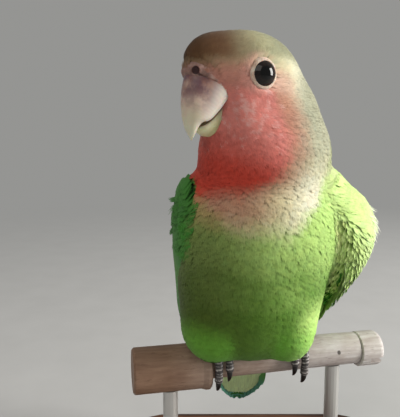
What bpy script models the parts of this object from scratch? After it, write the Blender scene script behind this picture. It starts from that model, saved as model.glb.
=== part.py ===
"""A life-size peach-faced lovebird gripping a cut length of perch, on a plain display stand.

Shapes are worked out in bird coordinates: millimetres from the point of the perch's axis
between the feet, with +X to the bird's left, +Y to its back and +Z up. The body is one
smooth union of ellipsoids, read slice by slice along a spine and parted by thin cuts.
"""
import math

import bmesh
import bpy
import numpy as np
from mathutils import Vector

MM = 0.001
GAP = 0.3            # clear space between pieces that touch

# Stand: a flat base centred on the origin, with two rods up to the perch
BASE_SIZE = (100.0, 80.0)
BASE_HEIGHT = 5.0
BASE_CORNER = 16.0
BASE_EDGE = 1.0
ROD_RADIUS = 2.4
ROD_PLACES = (-29.0, 27.0)      # along the perch from the point between the feet
PERCH_POINT = np.array((-2.0, -3.0, 49.0))

# Perch: a thin rod with a thick part on the bird's right and a slotted end on its left
PERCH_YAW = math.radians(12.0)
PERCH_RADIUS = 5.7
PERCH_RADIUS_FAR = 5.2
STEP_AT, SEAM_AT = -16.6, 35.2
THICK_END, THICK_RADIUS, THICK_DROP = -41.0, 7.2, 1.3
LIP_LENGTH, LIP_PROUD = 1.3, 0.5
END_AT, END_RADIUS, END_DROP = 43.6, 5.8, 0.5
SLOT_FROM, SLOT_HEIGHT, SLOT_Z = 38.5, 1.9, -2.9

# Head: turned to the bird's right, measured from the point midway between its eyes
HEAD_POINT = np.array((-7.6, -13.0, 87.8))
HEAD_YAW = math.radians(60.0)
HEAD_PITCH = math.radians(1.0)
EYE_RADIUS, EYE_APEX = 4.2, 12.6
EYE_FORWARD_TURN = math.radians(12.0)

# Feet
FOOT_PLACES = {"left": 12.1, "right": -13.1}
TOE_RADIUS = 1.4
TOE_SPREAD = 1.7
FOOT_CLEARANCE = 3.5             # room for the feet between the perch and the belly

SIDES = 32                       # corners in each slice of the body
FACET_SLACK = 0.25               # how far the facets of two lofts of one surface may differ
BLEND = 0.5                      # sharpness of the union of ellipsoids, per mm


def unit(v):
    v = np.asarray(v, float)
    return v / np.linalg.norm(v)


UP = np.array((0.0, 0.0, 1.0))
PERCH_DIR = np.array((math.cos(PERCH_YAW), math.sin(PERCH_YAW), 0.0))
PERCH_FRONT = np.array((math.sin(PERCH_YAW), -math.cos(PERCH_YAW), 0.0))
HEAD_FORWARD = np.array((-math.sin(HEAD_YAW) * math.cos(HEAD_PITCH),
                         -math.cos(HEAD_YAW) * math.cos(HEAD_PITCH),
                         -math.sin(HEAD_PITCH)))
HEAD_LEFT = unit(np.cross(UP, HEAD_FORWARD))
HEAD_UP = np.cross(HEAD_FORWARD, HEAD_LEFT)


def head(forward, left, up):
    """A point given in head coordinates."""
    return HEAD_POINT + forward * HEAD_FORWARD + left * HEAD_LEFT + up * HEAD_UP


def curve(points, t):
    """A smooth curve through the points, for t from 0 to 1."""
    points = np.asarray(points, float)
    ends = np.vstack([2 * points[0] - points[1], points, 2 * points[-1] - points[-2]])
    x = np.clip(np.atleast_1d(t), 0.0, 1.0) * (len(points) - 1)
    i = np.minimum(x.astype(int), len(points) - 2)
    f = (x - i)[:, None]
    a, b, c, d = (ends[i + k] for k in range(4))
    return 0.5 * (2 * b + (c - a) * f + (2 * a - 5 * b + 4 * c - d) * f ** 2
                  + (3 * b - a - 3 * c + d) * f ** 3)


# Body shape

TRUNK_AXES = np.eye(3)
BACK_LEAN = math.radians(20.0)
BACK_AXES = np.array(((1, 0, 0), (0, math.cos(BACK_LEAN), math.sin(BACK_LEAN)),
                      (0, -math.sin(BACK_LEAN), math.cos(BACK_LEAN))))
HEAD_AXES = np.array((HEAD_FORWARD, HEAD_LEFT, HEAD_UP))

# Each ellipsoid is its centre, its radii and the axes that the radii lie along.
BODY = (
    ("belly", np.array((-3.2, -4.5, 27.0)), (22.6, 21.0, 22.5), TRUNK_AXES),
    ("breast", np.array((-0.8, -7.5, 42.0)), (22.8, 19.5, 23.0), TRUNK_AXES),
    ("shoulders", np.array((1.2, -3.0, 53.5)), (25.0, 13.5, 13.0), TRUNK_AXES),
    ("back", np.array((-1.3, 8.0, 33.0)), (18.0, 14.0, 30.0), BACK_AXES),
    ("vent", np.array((-2.0, 17.0, 8.0)), (10.5, 9.5, 12.0), BACK_AXES),
    ("thigh_left", np.array((8.0, -9.6, 14.0)), (7.9, 11.0, 10.2), TRUNK_AXES),
    ("thigh_right", np.array((-14.8, -9.8, 14.0)), (9.6, 11.2, 10.4), TRUNK_AXES),
    ("lap", np.array((-3.4, -9.6, 14.2)), (8.4, 10.0, 9.3), TRUNK_AXES),
    ("neck", np.array((0.3, -7.5, 66.8)), (19.6, 16.5, 16.0), TRUNK_AXES),
    ("nape", head(-11.9, -1.0, -11.0), (14.6, 12.5, 14.0), HEAD_AXES),
    ("cranium", head(-4.8, 0, -0.8), (14.2, 11.1, 13.3), HEAD_AXES),
    ("crown", head(1.5, 0, 3.2), (10.0, 8.0, 8.6), HEAD_AXES),
    ("forehead", head(9.4, 0, 2.7), (8.4, 6.8, 8.4), HEAD_AXES),
    ("cheek_left", head(-1.8, 4.6, -10.0), (8.0, 6.2, 8.5), HEAD_AXES),
    ("cheek_right", head(-1.8, -4.6, -10.0), (8.0, 6.2, 8.5), HEAD_AXES),
    ("chin", head(4.2, 0, -14.0), (6.4, 5.4, 5.0), HEAD_AXES),
)

SPINE = ((-1.6, 9.0, 12.0), (-1.5, 1.0, 28.0), (-1.5, -4.0, 46.0), (-2.5, -7.0, 64.0),
         (-5.5, -10.0, 79.0), (-8.2, -12.2, 90.0))
SPINE_BOTTOM_DIR = unit((0.0, 0.5, -0.87))
SPINE_TOP_DIR = unit((-0.12, -0.05, 1.0))
TWIST_FROM, TWIST_TO = 55.0, 80.0        # heights between which the slices turn to the head


def body_field(p):
    """Signed distance, nearly, from points to the body's surface; negative inside."""
    total = 0.0
    for _name, centre, radii, axes in BODY:
        q = (p - centre) @ axes.T
        k0 = np.linalg.norm(q / radii, axis=-1) + 1e-9
        k1 = np.linalg.norm(q / np.square(radii), axis=-1) + 1e-9
        total = total + np.exp(-BLEND * np.clip(k0 * (k0 - 1) / k1, -60, 60))
    return -np.log(total) / BLEND


def surface_along(start, direction, margin, reach=60.0):
    """Where rays from inside the body meet the surface grown by margin."""
    near, far = np.zeros(start.shape[:-1]), np.full(start.shape[:-1], reach)
    for _ in range(26):
        mid = (near + far) / 2
        inside = body_field(start + mid[..., None] * direction) < margin
        near, far = np.where(inside, mid, near), np.where(inside, far, mid)
    return start + near[..., None] * direction


def spine(margin=0.0):
    """The spine's points, from under the tail's root to the crown."""
    bottom = surface_along(np.array(SPINE[0]), SPINE_BOTTOM_DIR, margin)
    top = surface_along(np.array(SPINE[-1]), SPINE_TOP_DIR, margin)
    return np.vstack([bottom, SPINE, top])


def slice_rings(stations, sides, margin=0.0):
    """Rings of the body's surface, one for each station from 0 to 1 along the spine."""
    points = spine(margin)
    centres = curve(points, stations)
    ahead = curve(points, np.minimum(stations + 0.01, 1.0))
    behind = curve(points, np.maximum(stations - 0.01, 0.0))
    rings = []
    angles = np.arange(sides) * 2 * math.pi / sides
    for centre, tangent in zip(centres, ahead - behind):
        tangent = unit(tangent)
        turn = np.clip((centre[2] - TWIST_FROM) / (TWIST_TO - TWIST_FROM), 0, 1)
        yaw = HEAD_YAW * turn * turn * (3 - 2 * turn)
        front = np.array((-math.sin(yaw), -math.cos(yaw), 0.0))
        front = unit(front - tangent * (front @ tangent))
        left = np.cross(tangent, front)
        rays = np.cos(angles)[:, None] * front + np.sin(angles)[:, None] * left
        rings.append(surface_along(np.repeat(centre[None], sides, 0), rays, margin))
    return rings


# Mesh helpers

def material(name, colour, roughness, metallic=0.0):
    made = bpy.data.materials.get(name) or bpy.data.materials.new(name)
    made.use_nodes = True
    shader = made.node_tree.nodes["Principled BSDF"]
    shader.inputs["Base Color"].default_value = (*colour, 1.0)
    shader.inputs["Roughness"].default_value = roughness
    shader.inputs["Metallic"].default_value = metallic
    return made


def add_object(name, bm, finish):
    """A new object from a bmesh in bird coordinates."""
    for vert in bm.verts:
        vert.co = (vert.co + Vector(PERCH_POINT)) * MM
    bmesh.ops.recalc_face_normals(bm, faces=bm.faces)
    mesh = bpy.data.meshes.new(name)
    bm.to_mesh(mesh)
    bm.free()
    mesh.shade_smooth()
    mesh.set_sharp_from_angle(angle=math.radians(50))
    made = bpy.data.objects.new(name, mesh)
    bpy.context.scene.collection.objects.link(made)
    made.data.materials.append(finish)
    return made


def loft(rings):
    """A closed body through rings of equal length, with flat ends."""
    bm = bmesh.new()
    loops = [[bm.verts.new(p) for p in ring] for ring in rings]
    for low, high in zip(loops, loops[1:]):
        count = len(low)
        for i in range(count):
            j = (i + 1) % count
            bm.faces.new((low[i], low[j], high[j], high[i]))
    for loop in (loops[0], loops[-1]):
        centre = bm.verts.new(sum((v.co for v in loop), Vector()) / len(loop))
        for i, vert in enumerate(loop):
            bm.faces.new((vert, loop[(i + 1) % len(loop)], centre))
    return bm


def tube(path, radii, sides, flat=1.0):
    """A tube along a path, whose section is flat times as thick across the path's side."""
    path = np.asarray(path, float)
    steps = np.gradient(path, axis=0)
    side = unit(np.cross(steps[0], steps[-1]) if np.linalg.norm(np.cross(steps[0], steps[-1]))
                > 1e-6 else np.cross(steps[0], (0.31, 0.87, 0.22)))
    rings = []
    for point, step, radius in zip(path, steps, radii):
        ahead = unit(step)
        across = unit(side - ahead * (side @ ahead))
        over = np.cross(ahead, across)
        turns = np.arange(sides) * 2 * math.pi / sides
        rings.append([point + radius * (flat * math.cos(a) * across + math.sin(a) * over)
                      for a in turns])
    return loft(rings)


def ribbon(path, normals, half_widths, half_thicks, curl, sections, sides):
    """A flat tapering blade along a path, curled over its own back by curl at its edges."""
    t = np.linspace(0, 1, sections)
    centres = curve(path, t)
    steps = np.gradient(centres, axis=0)
    outs = curve(normals, t)
    widths = curve(np.c_[half_widths, half_thicks], t)
    rings = []
    for centre, step, out, (wide, thick) in zip(centres, steps, outs, widths):
        ahead = unit(step)
        out = unit(out - ahead * (out @ ahead))
        across = np.cross(ahead, out)
        ring = []
        for a in np.arange(sides) * 2 * math.pi / sides:
            v = math.cos(a)
            ring.append(centre + across * wide * v
                        + out * (thick * math.sin(a) - curl * wide * v * v))
        rings.append(ring)
    return loft(rings)


def ball(centre, radius, segments, rings, axis=UP):
    bm = bmesh.new()
    bmesh.ops.create_uvsphere(bm, u_segments=segments, v_segments=rings, radius=radius)
    turn = Vector((0, 0, 1)).rotation_difference(Vector(axis))
    bmesh.ops.rotate(bm, verts=bm.verts, matrix=turn.to_matrix())
    bmesh.ops.translate(bm, verts=bm.verts, vec=Vector(centre))
    return bm


def turned(profile, sides, drop=0.0):
    """A body of revolution about the perch's axis, from (along, radius) pairs."""
    across = -PERCH_FRONT
    rings = []
    for along, radius in profile:
        centre = PERCH_DIR * along - UP * drop
        rings.append([centre + radius * (math.cos(a) * across + math.sin(a) * UP)
                      for a in np.arange(sides) * 2 * math.pi / sides])
    return loft(rings)


def cutter(name, bm):
    made = add_object("cut_" + name, bm, material("cutter", (1, 1, 1), 1.0))
    made.hide_render = True
    made.display_type = "WIRE"
    return made


def carve(target, tool, operation="DIFFERENCE"):
    cut = target.modifiers.new(tool.name, "BOOLEAN")
    cut.object = tool
    cut.operation = operation
    cut.solver = "EXACT"


# Bill

def arch_rings(top, edge, half_width, underside, margin, count, arch=10, floor=5):
    """Rings of a mandible between its ridge and its edges, in head coordinates.

    top and edge give (forward, up) for t from 0 to 1, half_width the side reach there, and
    underside how far the hollow between the edges rises towards the ridge.
    """
    rings = []
    for t in np.linspace(0, 1, count):
        (ridge,), (rim,) = curve(top, t), curve(edge, t)
        rise = ridge - rim
        length = np.linalg.norm(rise) + 1e-6
        ridge = ridge + rise / length * margin
        rim = rim - rise / length * margin
        wide = half_width(t) + margin
        ring = []
        for i in range(arch + 1):
            a = math.pi * i / arch
            f, z = rim + (ridge - rim) * math.sin(a) ** 0.8
            ring.append(head(f, wide * math.cos(a), z))
        for i in range(1, floor):
            s = 1 - 2 * i / floor
            hollow = 0.0 if margin else underside * (1 - s * s)
            f, z = rim + (ridge - rim) * hollow
            ring.append(head(f, -wide * s, z))
        rings.append(ring)
    return loft(rings)


UPPER_RIDGE = ((13.2, 3.4), (16.6, 1.6), (18.3, -4.0), (18.5, -9.5), (17.7, -14.0),
               (16.1, -17.2))
UPPER_EDGE = ((5.5, -3.2), (7.6, -5.6), (10.2, -9.2), (12.6, -11.9), (14.6, -12.9),
              (16.1, -17.0))
LOWER_RIDGE = ((3.6, -12.5), (7.0, -15.2), (10.5, -16.3), (13.2, -15.8), (14.7, -14.2))
LOWER_EDGE = ((3.0, -5.6), (6.3, -7.0), (9.4, -10.4), (12.2, -13.0), (14.5, -14.1))


def upper_width(t):
    return 6.9 * (1 - 0.96 * t ** 1.5) ** 0.8


def lower_width(t):
    return 4.7 * (1 - 0.9 * t ** 2.6) ** 0.7


def upper_bill(margin=0.0):
    return arch_rings(UPPER_RIDGE, UPPER_EDGE, upper_width, 0.2, margin, 12)


def lower_bill(margin=0.0):
    return arch_rings(LOWER_RIDGE, LOWER_EDGE, lower_width, 0.25, margin, 8)


def make_bill(horn, horn_pale):
    """Both mandibles, and the rooms that the head leaves for them."""
    add_object("bill_upper", upper_bill(), horn)
    lower = add_object("bill_lower", lower_bill(), horn_pale)
    upper_room = cutter("bill_upper_room", upper_bill(GAP))
    carve(lower, upper_room)
    return upper_room, cutter("bill_lower_room", lower_bill(GAP))


def eye_axis(side):
    return unit(side * math.cos(EYE_FORWARD_TURN) * HEAD_LEFT
                + math.sin(EYE_FORWARD_TURN) * HEAD_FORWARD)


def make_eyes(finish):
    rooms = []
    for name, side in (("left", 1), ("right", -1)):
        axis = eye_axis(side)
        centre = head(0, side * EYE_APEX, 0) - axis * EYE_RADIUS
        add_object("eye_" + name, ball(centre, EYE_RADIUS, 16, 9, axis), finish)
        rooms.append(cutter("eye_room_" + name,
                            ball(centre, EYE_RADIUS + GAP, 14, 8, axis)))
    return rooms


# Body

NECK_LOW, NECK_HIGH = 0.535, 0.665       # stations of the cuts below and above the neck
CUT = 0.0035                             # thickness of those cuts, in stations
THIGH_CUTTERS = {"left": ((13.5, -4.5, 8.5), (12.0, 15.0, 14.0)),
                 "right": ((-14.0, -4.5, 8.5), (12.0, 15.0, 14.0))}


def body_part(name, low, high, rings, finish):
    stations = low + (high - low) * np.linspace(0, 1, rings)
    if low < 0.01:
        stations = low + (high - low) * np.linspace(0, 1, rings) ** 1.5
    if high > 0.99:
        stations = low + (high - low) * (1 - (1 - np.linspace(0, 1, rings)) ** 1.5)
    return add_object(name, loft(slice_rings(stations, SIDES)), finish)


def make_body(green, face, bill_rooms, eye_rooms):
    trunk = body_part("trunk", 0.002, NECK_LOW, 16, green)
    body_part("neck", NECK_LOW + CUT, NECK_HIGH, 4, green)
    skull = body_part("head", NECK_HIGH + CUT, 0.998, 12, face)
    for room in (*bill_rooms, *eye_rooms):
        carve(skull, room)
    return trunk


def scaled_ball(centre, radii, grow):
    bm = ball((0, 0, 0), 1.0, 18, 10)
    for vert in bm.verts:
        vert.co = Vector([c + v * (r + grow) for c, v, r in zip(centre, vert.co, radii)])
    return bm


def make_thighs(trunk, green):
    """Each feathered thigh is parted from the trunk, and both clear the perch and feet."""
    whole = body_part("thigh_whole", 0.002, NECK_LOW, 16, green)
    room = cutter("perch_room", turned(((-30.0, PERCH_RADIUS + FOOT_CLEARANCE),
                                        (30.0, PERCH_RADIUS + FOOT_CLEARANCE)), 28))
    thighs = []
    for side, (centre, radii) in THIGH_CUTTERS.items():
        thigh = bpy.data.objects.new("thigh_" + side, whole.data.copy())
        bpy.context.scene.collection.objects.link(thigh)
        carve(thigh, cutter("thigh_" + side, scaled_ball(centre, radii, 0.0)), "INTERSECT")
        carve(thigh, room)
        carve(trunk, cutter("thigh_room_" + side, scaled_ball(centre, radii, GAP)))
        thighs.append(thigh)
    carve(trunk, room)
    bpy.data.objects.remove(whole)
    return thighs


def body_room():
    """The trunk and neck, grown so that wings and tail stay clear of their facets."""
    stations = (NECK_HIGH + 0.03) * np.linspace(0, 1, 30) ** 1.4 + 0.001
    return cutter("body_room", loft(slice_rings(stations, SIDES, GAP + FACET_SLACK)))


# Wings and tail

# Along each folded wing, from its bend at the shoulder to its tip over the tail
WING_PATHS = {
    "left": ((23.2, -9.0, 53.4), (27.0, -3.4, 42.8), (17.8, 11.3, 25.2), (11.2, 21.5, 5.0),
             (1.2, 30.0, -16.0)),
    "right": ((-23.0, -10.0, 54.0), (-24.0, -3.0, 43.0), (-21.0, 11.0, 25.0),
              (-15.5, 21.5, 5.0), (-6.2, 30.0, -16.0)),
}
WING_OUT = ((0.75, -0.6, 0.3), (0.97, -0.1, 0.2), (0.82, 0.55, 0.15), (0.55, 0.83, 0.1),
            (0.1, 0.99, 0.1))
WING_WIDTHS = (4.0, 12.5, 14.5, 10.0, 1.2)
WING_THICKS = {"left": (2.0, 8.6, 3.1, 2.2, 0.5), "right": (2.0, 3.6, 3.2, 2.2, 0.5)}
WING_CURL = 0.28

TAIL_PATH = ((-2.2, 14.0, 12.0), (-2.8, 20.5, -4.0), (-3.5, 27.0, -20.0),
             (-4.2, 31.5, -31.5))
TAIL_OUT = ((0, 0.9, 0.4), (0, 0.92, 0.38), (0, 0.93, 0.36), (0, 0.94, 0.34))
TAIL_WIDTHS = (6.0, 8.6, 8.8, 3.2)
TAIL_THICKS = (3.0, 2.0, 1.3, 0.6)
TAIL_CURL = 0.1


def make_wings(room, tail_room, green):
    for side, path in WING_PATHS.items():
        out = [(x if side == "left" else -x, y, z) for x, y, z in WING_OUT]
        wing = add_object("wing_" + side, ribbon(path, out, WING_WIDTHS, WING_THICKS[side],
                                                 WING_CURL, 14, 16), green)
        carve(wing, room)
        carve(wing, tail_room)


def make_tail(room, green):
    """The tail, and the room that the wings leave for it."""
    tail = add_object("tail", ribbon(TAIL_PATH, TAIL_OUT, TAIL_WIDTHS, TAIL_THICKS,
                                     TAIL_CURL, 10, 14), green)
    carve(tail, room)
    return cutter("tail_room", ribbon(TAIL_PATH, TAIL_OUT, np.add(TAIL_WIDTHS, GAP),
                                      np.add(TAIL_THICKS, GAP), TAIL_CURL, 10, 14))


# Legs

# For each toe: side of the foot's middle, way round the perch, and length round it
TOES = {"inner_front": (-1, 1, 10.5), "outer_front": (1, 1, 14.0),
        "inner_back": (-1, -1, 8.0), "outer_back": (1, -1, 13.0)}
TOE_START = math.radians(16.0)
GRIP_END = math.radians(98.0)    # where a toe leaves the perch and runs nearly straight
STRAIGHTER = 0.25                # the bend past there, as a share of the perch's
CLAW_LENGTH = 4.6
CLAW_RADII = (0.95, 0.9, 0.76, 0.6, 0.42, 0.25)
SHIN_BENDS = ((0, 0, 0), (0, 1.2, 4.5), (0, 3.4, 8.5))       # up from the sole
SHIN_RADII = (1.9, 1.5, 1.45, 1.4, 1.4, 1.45)
SHIN_ROOM = (2.3, 1.95)                  # radius of the thigh's hole round the sole and shin
TOE_ROW_ARC = (math.radians(-64), math.radians(64))
TOE_ROW_WIDTH = 2.6                      # in toe radii
TOE_STEPS = np.linspace(0, 1, 8)         # where each toe's sections stand along it


def perch_radius(along):
    share = (along - STEP_AT) / (SEAM_AT - STEP_AT)
    return PERCH_RADIUS + (PERCH_RADIUS_FAR - PERCH_RADIUS) * share


def round_perch(along, radius, angle, way):
    return PERCH_DIR * along + radius * (math.cos(angle) * UP
                                         + way * math.sin(angle) * PERCH_FRONT)


def grip_point(along, way, length):
    """The point a length along a toe's grip, and the angle that it heads past level."""
    radius = perch_radius(along) + GAP + TOE_RADIUS
    bent = min(length, (GRIP_END - TOE_START) * radius)
    angle = TOE_START + bent / radius
    point = round_perch(along, radius, angle, way)
    steps = 12
    for _ in range(steps):
        step = (length - bent) / steps
        point = point + step * (way * math.cos(angle) * PERCH_FRONT - math.sin(angle) * UP)
        angle += STRAIGHTER * step / radius
    return point, angle


def toe_paths(along, way, length):
    """A toe's path round the perch and its claw's beyond it, which hooks inwards."""
    toe = [grip_point(along, way, length * share)[0] for share in TOE_STEPS]
    claw = []
    for share in np.linspace(0, 1, len(CLAW_RADII)):
        point, angle = grip_point(along, way, length + GAP + CLAW_LENGTH * share)
        outward = way * math.sin(angle) * PERCH_FRONT + math.cos(angle) * UP
        claw.append(point + outward * (0.9 * share - 1.9 * share ** 2))
    return toe, claw


def make_leg(side, thigh, skin, horn):
    middle = FOOT_PLACES[side]
    outward = 1 if side == "left" else -1
    sole = perch_radius(middle) + GAP + TOE_RADIUS
    pad = UP * sole + PERCH_DIR * middle
    shin = curve(pad + np.array(SHIN_BENDS), np.linspace(0, 1, len(SHIN_RADII)))
    tarsus = add_object("leg_" + side, tube(shin, SHIN_RADII, 12), skin)
    beyond = shin[-1] + (shin[-1] - shin[-2]) * 0.2
    carve(thigh, cutter("leg_room_" + side,
                        tube(np.vstack([shin, beyond]),
                             (SHIN_ROOM[0],) + (SHIN_ROOM[1],) * len(shin), 14)))
    carve(tarsus, cutter("toe_room_" + side, toe_row(middle)))
    for name, (lateral, way, length) in TOES.items():
        along = middle + outward * lateral * TOE_SPREAD
        toe, claw = toe_paths(along, way, length)
        radii = TOE_RADIUS * (1.0 - 0.16 * TOE_STEPS + 0.05 * np.cos(TOE_STEPS * 14.7))
        add_object(f"toe_{side}_{name}", tube(toe, radii, 9), skin)
        add_object(f"claw_{side}_{name}", tube(claw, CLAW_RADII, 7), horn)


def toe_row(middle):
    """The band that the toes' roots take up on top of the perch."""
    radius = perch_radius(middle) + GAP + TOE_RADIUS
    arc = [round_perch(middle, radius, angle, 1) for angle in np.linspace(*TOE_ROW_ARC, 9)]
    return tube(arc, [TOE_RADIUS + GAP] * len(arc), 12, flat=TOE_ROW_WIDTH)


# Perch and stand

def make_perch(wood):
    near = THICK_RADIUS + LIP_PROUD
    thick = ((THICK_END, THICK_RADIUS - 0.6), (THICK_END + 0.6, THICK_RADIUS),
             (STEP_AT - LIP_LENGTH - 1.6, THICK_RADIUS), (STEP_AT - LIP_LENGTH, near),
             (STEP_AT - 0.4, near), (STEP_AT, near - 0.4))
    add_object("perch_thick", turned(thick, 26, THICK_DROP), wood)
    rod = ((STEP_AT + GAP, PERCH_RADIUS), (SEAM_AT - GAP, PERCH_RADIUS_FAR))
    add_object("perch_rod", turned(rod, 26), wood)
    dome = [(END_AT - 1.8 + 1.8 * math.sin(a), END_RADIUS - 1.8 + 1.8 * math.cos(a))
            for a in np.linspace(0, math.pi / 2, 5)]
    end = add_object("perch_end", turned(((SEAM_AT, END_RADIUS - 0.3),
                                          (SEAM_AT + 0.4, END_RADIUS), *dome),
                                         26, END_DROP), wood)
    slot = box(END_AT - SLOT_FROM + 4.0, 30.0, SLOT_HEIGHT,
               (PERCH_DIR * (SLOT_FROM + END_AT + 4.0) / 2) + UP * SLOT_Z)
    carve(end, cutter("slot", slot))


def box(length, depth, height, centre):
    """A box lined up with the perch."""
    bm = bmesh.new()
    bmesh.ops.create_cube(bm, size=1.0)
    for vert in bm.verts:
        x, y, z = vert.co
        vert.co = Vector(np.asarray(centre) + PERCH_DIR * x * length - PERCH_FRONT * y * depth
                         + UP * z * height)
    return bm


def make_stand(wood, metal):
    length, depth = BASE_SIZE
    rings = []
    low = -PERCH_POINT[2]
    levels = ((low, 0.0), (low + BASE_HEIGHT - BASE_EDGE, 0.0),
              (low + BASE_HEIGHT - 0.3 * BASE_EDGE, 0.3 * BASE_EDGE),
              (low + BASE_HEIGHT, BASE_EDGE))
    for z, inset in levels:
        ring = []
        for quarter in range(4):
            sx, sy = ((1, 1), (-1, 1), (-1, -1), (1, -1))[quarter]
            for i in range(7):
                a = math.pi / 2 * (quarter + i / 6)
                ring.append((sx * (length / 2 - BASE_CORNER) - PERCH_POINT[0]
                             + (BASE_CORNER - inset) * math.cos(a),
                             sy * (depth / 2 - BASE_CORNER) - PERCH_POINT[1]
                             + (BASE_CORNER - inset) * math.sin(a), z))
        rings.append(ring)
    add_object("stand_base", loft(rings), wood)
    rod_room = {THICK_DROP: cutter("thick_room", turned(((THICK_END - 5, THICK_RADIUS + GAP),
                                                         (STEP_AT, THICK_RADIUS + GAP)),
                                                        32, THICK_DROP)),
                0.0: cutter("rod_room", turned(((STEP_AT, PERCH_RADIUS + GAP),
                                                (SEAM_AT, PERCH_RADIUS_FAR + GAP)), 32))}
    for name, along, drop in (("right", ROD_PLACES[0], THICK_DROP),
                              ("left", ROD_PLACES[1], 0.0)):
        foot = PERCH_DIR * along + UP * (low + BASE_HEIGHT + GAP)
        head_point = PERCH_DIR * along - UP * (drop + 1.0)
        rod = add_object("stand_rod_" + name,
                         tube((foot, (foot + head_point) / 2, head_point),
                              [ROD_RADIUS] * 3, 16), metal)
        carve(rod, rod_room[drop])


def main():
    for old in list(bpy.data.objects):
        bpy.data.objects.remove(old)
    green = material("plumage_green", (0.21, 0.42, 0.07), 0.75)
    face = material("plumage_face", (0.55, 0.2, 0.16), 0.75)
    horn = material("bill_horn", (0.62, 0.5, 0.42), 0.35)
    horn_pale = material("bill_pale", (0.66, 0.62, 0.42), 0.4)
    eye = material("eye_dark", (0.01, 0.008, 0.008), 0.05)
    foot = material("foot_skin", (0.12, 0.11, 0.11), 0.6)
    claw = material("claw_horn", (0.03, 0.028, 0.03), 0.4)
    perch = material("perch_wood", (0.55, 0.48, 0.43), 0.6)
    stand = material("stand_wood", (0.1, 0.06, 0.035), 0.45)
    metal = material("stand_metal", (0.55, 0.53, 0.5), 0.3, 1.0)

    bill_rooms = make_bill(horn, horn_pale)
    eye_rooms = make_eyes(eye)
    trunk = make_body(green, face, bill_rooms, eye_rooms)
    thighs = make_thighs(trunk, green)
    room = body_room()
    tail_room = make_tail(room, green)
    make_wings(room, tail_room, green)
    for side, thigh in zip(THIGH_CUTTERS, thighs):
        make_leg(side, thigh, foot, claw)
    make_perch(perch)
    make_stand(stand, metal)


main()
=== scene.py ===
"""Looks of a life-size peach-faced lovebird on a cut length of perch, held by a display stand.

Shapes are worked out in bird coordinates: millimetres from the point of the perch's axis
between the feet, with +X to the bird's left, +Y to its back and +Z up.
"""

import math

import bpy
import numpy as np
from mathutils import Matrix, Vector


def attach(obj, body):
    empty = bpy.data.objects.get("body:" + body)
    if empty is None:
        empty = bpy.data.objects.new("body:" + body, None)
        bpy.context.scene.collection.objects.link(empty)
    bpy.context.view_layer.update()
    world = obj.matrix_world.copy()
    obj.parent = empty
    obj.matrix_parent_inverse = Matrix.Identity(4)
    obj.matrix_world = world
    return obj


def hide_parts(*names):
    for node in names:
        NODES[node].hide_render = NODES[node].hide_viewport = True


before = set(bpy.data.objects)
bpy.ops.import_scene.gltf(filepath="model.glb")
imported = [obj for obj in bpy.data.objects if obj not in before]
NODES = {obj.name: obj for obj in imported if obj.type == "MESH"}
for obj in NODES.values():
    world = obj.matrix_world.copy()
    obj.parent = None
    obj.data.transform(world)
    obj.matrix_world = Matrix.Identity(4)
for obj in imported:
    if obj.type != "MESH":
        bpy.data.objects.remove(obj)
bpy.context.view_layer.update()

MM = 0.001
GAP = 0.3                                       # air between neighbouring solids
PERCH_POINT = np.array((-2.0, -3.0, 49.0))      # the origin of bird coordinates, in the scene
RNG = np.random.default_rng(7)
UP = np.array((0.0, 0.0, 1.0))


# Vectors, curves and noise

def unit(v):
    """Vectors scaled to length 1."""
    v = np.asarray(v, float)
    return v / np.maximum(np.linalg.norm(v, axis=-1, keepdims=True), 1e-9)


def dot(a, b):
    return (a * b).sum(-1, keepdims=True)


def smooth(low, high, x):
    """0 at low and 1 at high, with a soft start and end."""
    t = np.clip((x - low) / (high - low), 0, 1)
    return t * t * (3 - 2 * t)


def mix(a, b, t):
    t = np.asarray(t)
    return a * (1 - t[..., None]) + b * t[..., None]


def curve(points, t):
    """A smooth curve through the points, for t from 0 to 1."""
    points = np.asarray(points, float)
    ends = np.vstack([2 * points[0] - points[1], points, 2 * points[-1] - points[-2]])
    x = np.clip(np.atleast_1d(t), 0.0, 1.0) * (len(points) - 1)
    i = np.minimum(x.astype(int), len(points) - 2)
    f = (x - i)[:, None]
    a, b, c, d = (ends[i + k] for k in range(4))
    return 0.5 * (2 * b + (c - a) * f + (2 * a - 5 * b + 4 * c - d) * f ** 2
                  + (3 * b - a - 3 * c + d) * f ** 3)


def ripple(p, size, seed=0.0):
    """A smooth value from -1 to 1 that wanders over about size millimetres."""
    q = p * (2 * math.pi / size)
    x, y, z = q[..., 0] + seed, q[..., 1] + 1.7 * seed, q[..., 2] - seed
    return (np.sin(x * 0.83 + 1.3 * np.sin(z * 0.71 + y * 0.35))
            * np.cos(y * 0.77 + 1.1 * np.sin(x * 0.57 - z * 0.41))
            + np.sin(z * 0.93 + 1.7 * np.cos(y * 0.53 + seed))) / 2


def colour(text):
    """Linear colour of a hexadecimal sRGB one."""
    c = np.array([int(text[i:i + 2], 16) for i in (0, 2, 4)]) / 255.0
    return np.where(c <= 0.04045, c / 12.92, ((c + 0.055) / 1.055) ** 2.4)


# Head: turned to the bird's right, measured from the point midway between its eyes

HEAD_POINT = np.array((-7.6, -13.0, 87.8))
HEAD_YAW = math.radians(60.0)
HEAD_PITCH = math.radians(1.0)
EYE_RADIUS, EYE_APEX = 4.2, 12.6
EYE_FORWARD_TURN = math.radians(12.0)
HEAD_FORWARD = np.array((-math.sin(HEAD_YAW) * math.cos(HEAD_PITCH),
                         -math.cos(HEAD_YAW) * math.cos(HEAD_PITCH),
                         -math.sin(HEAD_PITCH)))
HEAD_LEFT = unit(np.cross(UP, HEAD_FORWARD))
HEAD_UP = np.cross(HEAD_FORWARD, HEAD_LEFT)
HEAD_AXES = np.array((HEAD_FORWARD, HEAD_LEFT, HEAD_UP))


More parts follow.
